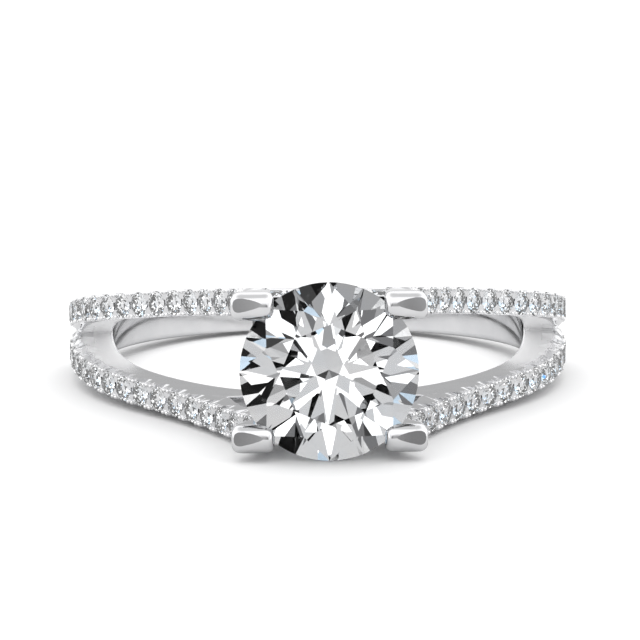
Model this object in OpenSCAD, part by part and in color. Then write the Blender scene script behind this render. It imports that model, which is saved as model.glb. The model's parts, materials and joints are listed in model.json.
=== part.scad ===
// A diamond engagement ring: a round brilliant in four claws on a split shank
// whose four branches are paved with small stones. The ring lies on its side, as
// it comes to rest on a table: the finger hole stands nearly upright and the head
// points to -Y. The back edge of the band and the two lower branches touch the
// table, and the edge of the centre stone is just clear of it.
// The origin is the centre of the finger hole.

/* [Finger and band] */
// Diameter of the finger hole
finger_d = 17.0; // [16:0.1:18.5]
// Thickness of the plain band
band_t = 1.36; // [1.2:0.01:1.45]
// Width of the plain band along the finger, at the shoulders
band_w = 2.36; // [2.2:0.02:2.4]
// Width of the plain band at its back
back_w = 1.9; // [1.6:0.05:2.2]
// Radius of the band's softly domed outside, across its width
band_dome = 3; // [2:0.1:6]
// Angle from the head at which the band splits into two rows
split_at = 83; // [79:1:86]
// How slowly the split opens, in degrees
split_soft = 6.5; // [4:0.5:10]

/* [Branches] */
// Width of each branch along the finger
branch_w = 1.05; // [0.95:0.01:1.1]
// Distance of each branch's centre from the middle plane at the shoulder
shoulder_z = 0.644; // [0.6:0.004:0.68]
// Distance of each branch's centre from the middle plane at the claws' feet
head_z = 2.29; // [2.2:0.01:2.35]
// How much faster the rows part near the shoulder
row_bow = 0.48; // [0.3:0.02:0.6]
// Angle from the head at which the branches leave the finger circle
rise_from = 54.5; // [50:0.5:58]
// How far they have climbed at the claws
rise = 2.62; // [2.4:0.01:2.7]
// How sharply they climb
rise_power = 3.23; // [2.8:0.01:3.5]
// Thickness of the rail that closes the finger circle under the stone
rail_t = 0.7; // [0.6:0.01:0.9]

/* [Paved rows] */
// Height of the stones' faces above the band
pave_rise = 0.39; // [0.35:0.01:0.5]
// Width of a paved row
pave_w = 1.0; // [0.85:0.01:1.0]
// Angle from the head at which the rows end on the back of the band
pave_back = 100; // [92:1:120]

/* [Head] */
// Diameter of the centre stone
stone_d = 6.36; // [6.2:0.02:6.4]
// Height of its girdle above the finger circle
girdle_up = 6.38; // [6.3:0.02:6.5]
// Distance of each claw's centre from the middle, across the finger
claw_x = 2.72; // [2.65:0.01:2.8]
// How far the claws lean apart, in degrees
claw_splay = 2.0; // [0:0.1:3]
// Length of a claw's tip over the stone
claw_l = 1.53; // [1.4:0.01:1.6]
// Width of a claw's tip
claw_w = 1.02; // [0.95:0.01:1.04]
// Height of the claws' tops above the finger circle
claw_up = 6.92; // [6.85:0.01:7.1]
// Height of the claws' feet above the finger circle
foot_up = 3.8; // [3.7:0.05:3.9]
// Height of the bridge's middle above the finger circle
bridge_up = 4.2; // [4.0:0.05:4.3]
// Width of the bridge between the claws
bridge_w = 1.0; // [0.8:0.05:1.1]
// Height of the bridge's paved face above the middle plane
bridge_top = 2.68; // [2.6:0.01:2.72]

/* [Clearances] */
// Gap between the metal and each stone or paved row
seat_gap = 0.03; // [0.02:0.005:0.05]

/* [Rest] */
// How far the head is lifted when the ring lies on a table
rest_tilt = 5.2; // [5.1:0.01:5.3]

/* [Hidden] */
$fn = 96;

finger_r = finger_d / 2;
band_r = finger_r + band_t;
rail_r = finger_r + rail_t;
pave_r = band_r + pave_rise;
// Thickness of a paved row, which leaves the gap between it and the band
pave_t = pave_rise - seat_gap;
stone_r = stone_d / 2;
girdle_h = finger_r + girdle_up;
claw_h = finger_r + claw_up;
claw_foot = finger_r + foot_up;
bridge_h = finger_r + bridge_up;
// Angle from the head at which the paved faces reach the claws' outer sides
rise_to = asin((claw_x + claw_l / 2 + 0.06) / (pave_r + rise));
// How much the branches' inner sides lean near the head and at the shoulder, and
// how much their outer sides do near the head, where the ring lies on them
lean_head = 0.05;
lean_shoulder = -0.052;
lean_outside = 0.0575;
// Reach of the solids that others are cut from
slab_in = finger_r - 0.8;
slab_out = claw_h + 1.2;
tall = 8;
// Corners of the open window beside each arm
window_tip = [3.55, -finger_r - 1.25];
window_side = [3.37, -finger_r - 2.1];
window_top = [2.6, -finger_r - 4.4];
// Thickness of a claw beside the stone, and height of the part that folds over it
prong_t = 1.0;
fold_h = 1.2;
// Roundings of a claw's tip, seen from the side of the ring, from the front and from above
plan_round = 0.42;
front_round = 0.38;
side_round = 0.3;
// Thickness and height of the basket's side bars, which the stone hides
bar_t = 0.75;
bar_h = 0.75;

// Round brilliant, as shares of the diameter
table_share = 0.56;
girdle_share = 0.03;
crown_angle = 34.5;
pavilion_angle = 40.8;
lower_half = 0.77;
star_share = 0.5;

white_gold = [0.90, 0.90, 0.91];
diamond = [0.86, 0.92, 0.98];
paving = [0.80, 0.84, 0.90];

// Distance of a row's centre from the middle plane, at an angle from the head
function row_part(a) = min(1, max(0, (90 - a) / (90 - rise_to)));
function row_z(a) = shoulder_z
    + (head_z - shoulder_z) * (row_part(a) + row_bow * row_part(a) * pow(1 - row_part(a), 2));
// A row's inner side, which closes to a sharp crotch at the split, and its outer side
function row_inside(a) = a >= split_at ? -0.04
    : (row_z(a) - branch_w / 2) * (1 - exp((a - split_at) / split_soft));
function row_outside(a) = row_z(a) + branch_w / 2;
// How far each side leans away from the middle plane for each mm outward
function ramp(a, from, to) = min(1, max(0, (a - from) / (to - from)));
function inside_lean(a) = a >= split_at ? 0
    : (lean_head + (lean_shoulder - lean_head) * pow(ramp(a, 18, 60), 0.8)) * min(1, (split_at - a) / 10);
function outside_lean(a) = lean_outside * (1 - ramp(a, 16, 35));

// Radius of the paved face, and points on it or beside it
function face_r(a) = a >= rise_from ? pave_r
    : pave_r + rise * pow((rise_from - a) / (rise_from - rise_to), rise_power);
function face_at(a) = [face_r(a) * sin(a), -face_r(a) * cos(a)];
function unit(v) = v / norm(v);
function face_out(a) = let (d = unit(face_at(a + 0.5) - face_at(a - 0.5))) [d[1], -d[0]];
function beside(a, off) = face_at(a) + off * face_out(a);
function mirrored(points) = [for (i = [len(points) - 1:-1:0]) [-points[i][0], points[i][1]]];

// Angles of the sections, closer together where the split opens
half_angles = concat([for (a = [4:4:72]) a], [75, 78, 80, 81, 82, split_at, split_at + 3]);
split_angles = concat([for (i = [len(half_angles) - 1:-1:0]) -half_angles[i]], [0], half_angles);

// A fan around the finger's axis between two leaning surfaces; each entry of
// low and high holds the height at the paved face and the lean
function leaning(a, z, r) = z[0] + z[1] * (r - face_r(max(abs(a), rise_to)));
module fan(angles, low, high) {
    n = len(angles);
    corners = [for (i = [0:n - 1]) let (a = angles[i]) each [
        [slab_in * sin(a), -slab_in * cos(a), leaning(a, low[i], slab_in)],
        [slab_out * sin(a), -slab_out * cos(a), leaning(a, low[i], slab_out)],
        [slab_out * sin(a), -slab_out * cos(a), leaning(a, high[i], slab_out)],
        [slab_in * sin(a), -slab_in * cos(a), leaning(a, high[i], slab_in)]
    ]];
    sides = [for (i = [0:n - 2]) for (k = [0:3]) let (m = (k + 1) % 4) each [
        [4 * i + k, 4 * i + m, 4 * i + 4 + k],
        [4 * i + m, 4 * i + 4 + m, 4 * i + 4 + k]
    ]];
    last = 4 * (n - 1);
    caps = [[3, 2, 1, 0], [last, last + 1, last + 2, last + 3]];
    polyhedron(points = corners, faces = concat(sides, caps));
}

// Outline of a row and its arms, seen along the finger
module row_plan() {
    arm = [for (a = [rise_from - 5:-1.5:rise_to + 1]) beside(a, -pave_rise)];
    root = (band_r - 0.5) * [sin(rise_from + 4), -cos(rise_from + 4)];
    edge = concat([root], arm, [beside(rise_to, -pave_rise), [claw_x + claw_l / 2 - 0.4, -claw_foot - 0.5]]);
    difference() {
        union() {
            circle(r = band_r);
            polygon(concat([[0, 0]], edge, mirrored(edge)));
        }
        head_window();
    }
}

// The open space between the two arms, over the rail that closes the circle
module head_window() {
    edge = [[1.2, -rail_r], window_tip, window_side, window_top, [1, -slab_out]];
    difference() {
        polygon(concat([[0, -rail_r + 0.5]], edge, mirrored(edge)));
        circle(r = rail_r);
    }
}

// One row of the split shank, with the arms that carry its two claws
module shank_row() {
    intersection() {
        translate([0, 0, -tall / 2]) linear_extrude(tall) row_plan();
        fan(split_angles,
            [for (a = split_angles) [row_inside(abs(a)), inside_lean(abs(a))]],
            [for (a = split_angles) [row_outside(abs(a)), outside_lean(abs(a))]]);
    }
}

// The plain back of the band: domed outside, and narrower toward its middle
module band_section() {
    intersection() {
        translate([finger_r - 0.3, -band_w]) square([band_t + 0.3, 2 * band_w]);
        translate([band_r - band_dome, 0]) circle(r = band_dome);
    }
}

module band_sides() {
    front = -band_r * cos(split_at);
    polygon([
        [front - 2, -band_w / 2], [front, -band_w / 2], [band_r + 0.5, -back_w / 2],
        [band_r + 0.5, back_w / 2], [front, band_w / 2], [front - 2, band_w / 2]
    ]);
}

module back_band() {
    intersection() {
        rotate([0, 0, split_at - 90]) rotate_extrude(angle = 360 - 2 * split_at) band_section();
        rotate([90, 0, 90]) linear_extrude(2 * slab_out, center = true) band_sides();
    }
}

// A claw: its outline from the front, from the side and along the finger, each rounded
module rounded_box(w, h, r) {
    square([w - 2 * r, h], center = true);
    square([w, h - 2 * r], center = true);
    for (x = [-1, 1], y = [-1, 1]) translate([x * (w / 2 - r), y * (h / 2 - r)]) circle(r = r);
}

module claw_plan() {
    outer = claw_x + claw_l / 2;
    translate([claw_x, -claw_h + fold_h / 2]) rounded_box(claw_l, fold_h, plan_round);
    translate([outer - prong_t, -claw_h + fold_h / 2]) square([prong_t, claw_h - claw_foot - fold_h / 2]);
}

module claw_side() {
    length = claw_h - claw_foot;
    rounded_box(length, claw_w, side_round);
    translate([0, -claw_w / 2]) square([length / 2, claw_w]);
}

module claw() {
    length = claw_h - claw_foot;
    translate([0, -claw_foot, head_z]) rotate([-claw_splay, 0, 0])
    translate([0, claw_foot, 0]) intersection() {
        linear_extrude(claw_w + 1, center = true) claw_plan();
        translate([claw_x, -claw_foot - length / 2, 0]) rotate([90, 0, 0])
            linear_extrude(length + 1, center = true) rounded_box(claw_l, claw_w, front_round);
        translate([claw_x, -claw_foot - length / 2, 0]) rotate([90, 0, 90])
            linear_extrude(claw_l + 1, center = true) claw_side();
    }
}

// The bars of the basket that join the claws under the stone
module bridge() {
    seat = bridge_top - pave_t - seat_gap;
    foot = head_z - claw_w / 2 + 0.05;
    translate([-claw_x, -bridge_h - bridge_w / 2, foot]) cube([2 * claw_x, bridge_w, seat - foot]);
}

module side_bar() {
    reach = bridge_top - pave_t - seat_gap;
    translate([claw_x - claw_l / 2, -bridge_h + bridge_w / 2 - bar_h, -reach])
        cube([bar_t, bar_h, 2 * reach]);
}

// The brilliant's outline turned about its axis, with the clearance around it
module stone_room() {
    girdle = stone_d * girdle_share / 2;
    crown = stone_r * (1 - table_share) * tan(crown_angle);
    pavilion = stone_r * tan(pavilion_angle);
    g = seat_gap;
    translate([0, -girdle_h, 0]) rotate([90, 0, 0]) rotate_extrude() polygon([
        [0, -girdle - pavilion - 1.5 * g],
        [stone_r + g, -girdle - 0.6 * g],
        [stone_r + g, girdle + 0.6 * g],
        [stone_r * table_share + g, girdle + crown + g],
        [0, girdle + crown + g]
    ]);
}

module half_mount() {
    shank_row();
    for (side = [0, 1]) mirror([side, 0, 0]) claw();
    bridge();
}

module ring_mount() {
    color(white_gold) lying() difference() {
        union() {
            back_band();
            half_mount();
            mirror([0, 0, 1]) half_mount();
            for (side = [0, 1]) mirror([side, 0, 0]) side_bar();
        }
        translate([0, 0, -tall / 2]) cylinder(r = finger_r, h = tall);
        stone_room();
    }
}

// Round brilliant: rings of corners from the table down to the culet
module centre_stone() {
    g = stone_d * girdle_share / 2;
    crown = stone_r * (1 - table_share) * tan(crown_angle);
    pavilion = stone_r * tan(pavilion_angle);
    table_r = stone_r * table_share;
    star_r = table_r + (stone_r - table_r) * star_share;
    // Where the star and upper girdle facets meet, on the line between two kites
    star_h = g + crown * (1 - star_share * 0.86);
    low_r = stone_r * (1 - lower_half);
    low_h = -g - pavilion * lower_half * 0.97;
    corners = concat(
        [for (i = [0:7]) ring_point(table_r, 45 * i, g + crown)],
        [for (i = [0:7]) ring_point(star_r, 45 * i + 22.5, star_h)],
        [for (i = [0:15]) ring_point(stone_r, 22.5 * i, g)],
        [for (i = [0:15]) ring_point(stone_r, 22.5 * i, -g)],
        [for (i = [0:7]) ring_point(low_r, 45 * i + 22.5, low_h)],
        [[0, 0, -g - pavilion]]
    );
    color(diamond) lying() translate([0, -girdle_h, 0]) rotate([90, 0, 0]) hull() polyhedron(
        points = corners,
        faces = brilliant_faces()
    );
}

function ring_point(r, a, h) = [r * cos(a), r * sin(a), h];

// Table 0-7, stars 8-15, upper girdle 16-31, lower girdle 32-47, lower halves 48-55, culet 56
function brilliant_faces() = concat(
    [[7, 6, 5, 4, 3, 2, 1, 0]],
    [for (i = [0:7]) each let (
        n = (i + 1) % 8, kite = 16 + 2 * i, between = kite + 1, next = 16 + (2 * i + 2) % 16
    ) [
        [i, n, 8 + i],
        [i, 8 + i, kite],
        [8 + i, n, next],
        [8 + i, between, kite],
        [8 + i, next, between],
        [kite, between, between + 16, kite + 16],
        [between, next, next + 16, between + 16],
        [kite + 16, between + 16, 48 + i],
        [between + 16, next + 16, 48 + i],
        [kite + 16, 48 + i, 56],
        [next + 16, 56, 48 + i]
    ]]
);

// A paved row: the layer of small stones and beads over one branch
module paved_row() {
    path = [for (a = [rise_to + 0.5:1.5:rise_from + 2]) a];
    near = [for (a = path) beside(a, 0)];
    under = [for (i = [len(path) - 1:-1:0]) beside(path[i], -pave_t)];
    angles = concat([for (a = [rise_to - 1:4:pave_back - 2]) a], [pave_back]);
    intersection() {
        translate([0, 0, -tall / 2]) linear_extrude(tall) union() {
            difference() {
                circle(r = pave_r);
                circle(r = pave_r - pave_t);
                translate([-pave_r - 1, -pave_r - 1]) square([pave_r + 1, 2 * pave_r + 2]);
                polygon([[0, 0], 3 * beside(0, 0), 3 * beside(rise_from - 0.5, 0)]);
            }
            polygon(concat(near, under));
        }
        fan(angles,
            [for (a = angles) [row_z(a) - pave_w / 2, 0]],
            [for (a = angles) [row_z(a) + pave_w / 2, outside_lean(a)]]);
    }
}

// The paved face of a bar, which looks along the finger
module bridge_paving(side) {
    length = 2 * (claw_x + claw_l / 2 - prong_t - 0.05);
    low = side > 0 ? bridge_top - pave_t : -bridge_top;
    color(paving) lying() translate([-length / 2, -bridge_h - bridge_w / 2 + 0.02, low])
        cube([length, bridge_w - 0.04, pave_t]);
}

module row_paving(x_side, z_side) {
    color(paving) lying() mirror([x_side < 0 ? 1 : 0, 0, 0]) mirror([0, 0, z_side < 0 ? 1 : 0]) paved_row();
}

// Turns the upright ring into the way it lies
module lying() {
    rotate([-rest_tilt, 0, 0]) children();
}

module pave_upper_left() { row_paving(-1, 1); }
module pave_upper_right() { row_paving(1, 1); }
module pave_lower_left() { row_paving(-1, -1); }
module pave_lower_right() { row_paving(1, -1); }
module pave_bridge_upper() { bridge_paving(1); }
module pave_bridge_lower() { bridge_paving(-1); }

ring_mount();
centre_stone();
pave_upper_left();
pave_upper_right();
pave_lower_left();
pave_lower_right();
pave_bridge_upper();
pave_bridge_lower();
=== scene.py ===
"""Diamond engagement ring, lying on its side: what is seen of it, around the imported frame.

The ring is worked out upright, in millimetres: the finger's axis is Z and the head looks
to -Y. Each finished mesh is then laid down into the frame, in metres.
"""

import json
import logging
import math
from dataclasses import dataclass, field, replace
from enum import Enum
from typing import Any, Sequence

import bmesh
import bpy
import numpy as np
from mathutils import Matrix, Vector

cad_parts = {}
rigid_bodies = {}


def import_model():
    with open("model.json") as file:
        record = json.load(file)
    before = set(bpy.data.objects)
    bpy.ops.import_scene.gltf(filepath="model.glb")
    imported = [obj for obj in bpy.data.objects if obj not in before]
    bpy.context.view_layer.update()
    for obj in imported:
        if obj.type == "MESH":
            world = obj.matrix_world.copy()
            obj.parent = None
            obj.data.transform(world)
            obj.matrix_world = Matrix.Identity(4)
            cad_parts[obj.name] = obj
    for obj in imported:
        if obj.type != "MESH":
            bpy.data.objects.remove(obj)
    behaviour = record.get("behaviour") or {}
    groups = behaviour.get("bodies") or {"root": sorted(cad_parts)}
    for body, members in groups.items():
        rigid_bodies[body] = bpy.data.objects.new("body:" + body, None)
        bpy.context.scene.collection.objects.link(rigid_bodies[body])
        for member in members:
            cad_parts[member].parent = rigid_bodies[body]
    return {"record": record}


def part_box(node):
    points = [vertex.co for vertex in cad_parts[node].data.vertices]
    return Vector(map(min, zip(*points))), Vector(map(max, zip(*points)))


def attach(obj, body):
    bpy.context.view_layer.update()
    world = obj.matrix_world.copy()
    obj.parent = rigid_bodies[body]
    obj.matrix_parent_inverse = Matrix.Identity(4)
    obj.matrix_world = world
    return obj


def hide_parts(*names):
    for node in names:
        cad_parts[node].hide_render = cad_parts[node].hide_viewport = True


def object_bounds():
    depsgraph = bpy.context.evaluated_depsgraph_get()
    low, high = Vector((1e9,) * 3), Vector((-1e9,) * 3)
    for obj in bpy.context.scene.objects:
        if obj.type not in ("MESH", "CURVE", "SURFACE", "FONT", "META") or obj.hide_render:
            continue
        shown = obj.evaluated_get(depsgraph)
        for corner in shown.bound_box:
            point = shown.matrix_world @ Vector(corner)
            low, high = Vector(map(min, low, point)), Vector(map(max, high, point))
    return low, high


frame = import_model()
CAD_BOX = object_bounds()

Colour = tuple[float, float, float, float]
Span = tuple[float, float]

# One millimetre in metres, and the body that every piece rides on
MM = 0.001
BODY = "root"
# Distance under which two corners of a mesh are one, in millimetres
SAME_PLACE = 1e-6
# Most of a side that one rounding takes, without and with the extra point beside it
MOST_ROUNDING = 0.42
MOST_SHOULDER = 0.48
# Side of the image in pixels
IMAGE_SIDE = 640
# The finger hole, and how far its axis leans off the vertical, in radians
HOLE = frame["record"]["mounts"][0]
LEAN = math.atan2(HOLE["axis"][1], HOLE["axis"][2])
# Angles after which a brilliant's main facets and its girdle's arcs repeat, in degrees
EIGHTH = 45.0
SIXTEENTH = 22.5
# Height of the centre stone's girdle above the finger circle
GIRDLE_UP = 6.38
# Angles past which edges of the mount and of the beads stay sharp, in degrees
MOUNT_CREASE = 30.0
BEAD_CREASE = 60.0
# Name of the mark on the faces of a small stone that lie in its seat
UNDERSIDE = "underside"
LOG = logging.getLogger("ring")


class Side(Enum):
    """The side of the ring, as seen from the stone's table."""

    LEFT = -1
    RIGHT = 1


class Level(Enum):
    """The row of the split shank, seen as the ring lies."""

    LOWER = -1
    UPPER = 1


class Slot(Enum):
    """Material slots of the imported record."""

    METAL = "metal"
    STONE = "centre_stone"
    PAVE = "pave"


class Join(Enum):
    """How one solid is combined with another."""

    UNION = "UNION"
    DIFFERENCE = "DIFFERENCE"


def sine(angle: float) -> float:
    """Sine of an angle in degrees."""
    return math.sin(math.radians(angle))


def cosine(angle: float) -> float:
    """Cosine of an angle in degrees."""
    return math.cos(math.radians(angle))


def tangent(angle: float) -> float:
    """Tangent of an angle in degrees."""
    return math.tan(math.radians(angle))


def ramp(value: float, start: float, end: float) -> float:
    """Share of the way from start to end, held between 0 and 1."""
    return min(1.0, max(0.0, (value - start) / (end - start)))


def blend(a: float, b: float, share: float) -> float:
    """Value at a share of the way from a to b."""
    return a + (b - a) * share


def around(angle: float, radius: float) -> np.ndarray:
    """Point in the ring's plane at an angle from the head, towards +X.

    Args:
        angle: Degrees from the head.
        radius: Distance from the finger's axis.

    Returns:
        The point's X and Y.
    """
    return np.array([radius * sine(angle), -radius * cosine(angle)])


def polar(radius: float, angle: float, height: float) -> np.ndarray:
    """Point at a radius, an angle in degrees about Z, and a height."""
    return np.array([radius * cosine(angle), radius * sine(angle), height])


def level_ring(radius: float, count: int, height: float, offset: float = 0.0) -> np.ndarray:
    """A ring of points about Z.

    Args:
        radius: Its radius.
        count: Number of points.
        height: Its height.
        offset: Share of a step by which the first point is turned.

    Returns:
        The points, one row each.
    """
    turns = [2 * math.pi * (i + offset) / count for i in range(count)]
    return np.array([[radius * math.cos(t), radius * math.sin(t), height] for t in turns])


def tag_material(tag: str) -> bpy.types.Material:
    """A stand-in material that tells the faces of one cut from those of another."""
    return bpy.data.materials.get("tag_" + tag) or bpy.data.materials.new("tag_" + tag)


@dataclass
class Solid:
    """A closed mesh of the upright ring, in millimetres.

    Attributes:
        points: The corners, one row each.
        faces: The corners of each face.
    """

    points: np.ndarray
    faces: list[tuple[int, ...]]

    @staticmethod
    def loft(sections: Sequence[np.ndarray]) -> "Solid":
        """Skins a row of outlines that have the same number of points, and closes its ends.

        Args:
            sections: The outlines, each an array with a row for each point.

        Returns:
            The closed solid.
        """
        count, last = len(sections[0]), len(sections) - 1
        faces = []
        for low in range(0, last * count, count):
            for i in range(count):
                j = (i + 1) % count
                faces.append((low + i, low + j, low + count + j, low + count + i))
        faces.append(tuple(reversed(range(count))))
        faces.append(tuple(range(last * count, (last + 1) * count)))
        return Solid(np.vstack(sections), faces)

    def mirrored(self, side: Side, level: Level) -> "Solid":
        """The solid on another side and level; it is made at the upper right."""
        return Solid(self.points * np.array([side.value, 1, level.value]), list(self.faces))

    def object(self, name: str, tag: str = "body") -> bpy.types.Object:
        """Makes a Blender object of the solid, with its faces pointing outwards.

        Args:
            name: Name of the object.
            tag: Name of the cut or body that its faces belong to.

        Returns:
            The object.
        """
        mesh = bpy.data.meshes.new(name)
        mesh.from_pydata(self.points.tolist(), [], self.faces)
        mesh.materials.append(tag_material(tag))
        tidy = bmesh.new()
        tidy.from_mesh(mesh)
        bmesh.ops.remove_doubles(tidy, verts=tidy.verts, dist=SAME_PLACE)
        bmesh.ops.recalc_face_normals(tidy, faces=tidy.faces)
        tidy.to_mesh(mesh)
        tidy.free()
        made = bpy.data.objects.new(name, mesh)
        bpy.context.scene.collection.objects.link(made)
        return made


@dataclass(frozen=True)
class Corner:
    """A corner of an outline.

    Attributes:
        x: First coordinate.
        y: Second coordinate.
        rounding: How far from the corner its rounding starts.
    """

    x: float
    y: float
    rounding: float


def rounded_outline(corners: Sequence[Corner], steps: int = 4, shoulder: float = 0.04) -> np.ndarray:
    """Rounds the corners of an outline, with a point just before and after each rounding.

    The extra points keep the flat stretches flat where the mesh is shaded smooth.

    Args:
        corners: The corners, in order.
        steps: Edges in each rounding.
        shoulder: Distance of the extra points from the rounding.

    Returns:
        The outline's points, one row each.
    """
    places = [np.array([c.x, c.y]) for c in corners]
    made = []
    for i, corner in enumerate(corners):
        here = places[i]
        before, after = places[i - 1] - here, places[(i + 1) % len(places)] - here
        to_before, to_after = np.linalg.norm(before), np.linalg.norm(after)
        before, after = before / to_before, after / to_after
        start = min(corner.rounding, MOST_ROUNDING * to_before)
        end = min(corner.rounding, MOST_ROUNDING * to_after)
        made.append(here + before * min(start + shoulder, MOST_SHOULDER * to_before))
        for step in range(steps + 1):
            t = step / steps
            made.append(here + before * start * (1 - t) ** 2 + after * end * t**2)
        made.append(here + after * min(end + shoulder, MOST_SHOULDER * to_after))
    return np.array(made)


@dataclass(frozen=True)
class Row:
    """The route and the sides of the upper row on the right; the other three mirror it.

    Attributes:
        finger_r: Radius of the finger hole.
        band_t: Thickness of the plain band.
        pave_rise: Height of the stones' tables above the band.
        pave_w: Width of the paved face.
        width: Width of the row along the finger.
        shoulder_z: Distance of the row's centre from the middle plane at the shoulder.
        head_z: The same at the claws.
        bow: How much faster the rows part near the shoulder.
        split_at: Angle from the head at which the band splits.
        split_soft: How slowly the split opens, in degrees.
        joined: How far a row reaches past the middle plane where the two are one.
        rise_from: Angle at which the row leaves the finger circle.
        rise: How far it has climbed at the claws.
        rise_power: How sharply it climbs.
        foot_x: Distance of the paved face's end from the middle, beside the claw.
        lean_head: Lean of the inner side near the head.
        lean_shoulder: Lean of the inner side near the shoulder.
        lean_span: Angles between which it goes from the one to the other.
        lean_power: How soon it does.
        lean_ends: Degrees over which it fades away at the split.
        lean_outside: Lean of the outer side near the head.
        lean_fades: Angles between which that lean fades away.
    """

    finger_r: float
    band_t: float = 1.36
    pave_rise: float = 0.39
    pave_w: float = 1.0
    width: float = 1.05
    shoulder_z: float = 0.644
    head_z: float = 2.26
    bow: float = 0.48
    split_at: float = 83.0
    split_soft: float = 6.5
    joined: float = 0.04
    rise_from: float = 54.5
    rise: float = 2.62
    rise_power: float = 3.23
    foot_x: float = 3.545
    lean_head: float = 0.05
    lean_shoulder: float = -0.052
    lean_span: Span = (18.0, 60.0)
    lean_power: float = 0.8
    lean_ends: float = 10.0
    lean_outside: float = 0.0575
    lean_fades: Span = (16.0, 35.0)

    @property
    def band_r(self) -> float:
        """Outer radius of the plain band."""
        return self.finger_r + self.band_t

    @property
    def pave_r(self) -> float:
        """Radius of the stones' tables where the row follows the finger circle."""
        return self.band_r + self.pave_rise

    @property
    def rise_to(self) -> float:
        """Angle from the head at which the paved face reaches the claw."""
        return math.degrees(math.asin(self.foot_x / (self.pave_r + self.rise)))

    def face_r(self, angle: float) -> float:
        """Radius of the paved face.

        Args:
            angle: Degrees from the head.

        Returns:
            The radius of the stones' tables there.
        """
        if angle >= self.rise_from:
            return self.pave_r
        share = (self.rise_from - angle) / (self.rise_from - self.rise_to)
        return self.pave_r + self.rise * share**self.rise_power

    def centre_z(self, angle: float) -> float:
        """Distance of the row's centre from the middle plane.

        Args:
            angle: Degrees from the head.

        Returns:
            The distance.
        """
        share = ramp(90 - angle, 0, 90 - self.rise_to)
        bowed = share + self.bow * share * (1 - share) ** 2
        return self.shoulder_z + (self.head_z - self.shoulder_z) * bowed

    def inner_z(self, angle: float, radius: float) -> float:
        """Distance of the row's inner side from the middle plane.

        Args:
            angle: Degrees from the head.
            radius: Distance from the finger's axis.

        Returns:
            The distance, less than nothing where both rows are one.
        """
        if angle >= self.split_at:
            return -self.joined
        opened = 1 - math.exp((angle - self.split_at) / self.split_soft)
        to_shoulder = ramp(angle, *self.lean_span) ** self.lean_power
        lean = blend(self.lean_head, self.lean_shoulder, to_shoulder)
        lean *= min(1, (self.split_at - angle) / self.lean_ends)
        face = self.face_r(max(angle, self.rise_to))
        return (self.centre_z(angle) - self.width / 2) * opened + lean * (radius - face)

    def outer_z(self, angle: float, radius: float) -> float:
        """Distance of the row's outer side from the middle plane.

        Args:
            angle: Degrees from the head.
            radius: Distance from the finger's axis.

        Returns:
            The distance.
        """
        lean = self.lean_outside * (1 - ramp(angle, *self.lean_fades))
        face = self.face_r(max(angle, self.rise_to))
        return self.centre_z(angle) + self.width / 2 + lean * (radius - face)


@dataclass(frozen=True)
class Spot:
    """A place on a paved face.

    Attributes:
        place: The point.
        outward: Direction out of the face.
        along: Direction along the row, away from the claw.
    """

    place: np.ndarray
    outward: np.ndarray
    along: np.ndarray

    @property
    def angle(self) -> float:
        """Degrees from the head."""
        return math.degrees(math.atan2(abs(self.place[0]), -self.place[1]))

    def moved(self, along: float = 0.0, across: float = 0.0, outward: float = 0.0) -> "Spot":
        """The spot moved in its own directions.

        Args:
            along: How far along the row.
            across: How far across it.
            outward: How far out of the face.

        Returns:
            The moved spot.
        """
        sideways = np.cross(self.outward, self.along)
        place = self.place + along * self.along + across * sideways + outward * self.outward
        return Spot(place, self.outward, self.along)

    def mirrored(self, side: Side, level: Level) -> "Spot":
        """The spot on another side and level."""
        flip = np.array([side.value, 1, level.value])
        return Spot(self.place * flip, self.outward * flip, self.along * flip)


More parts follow.
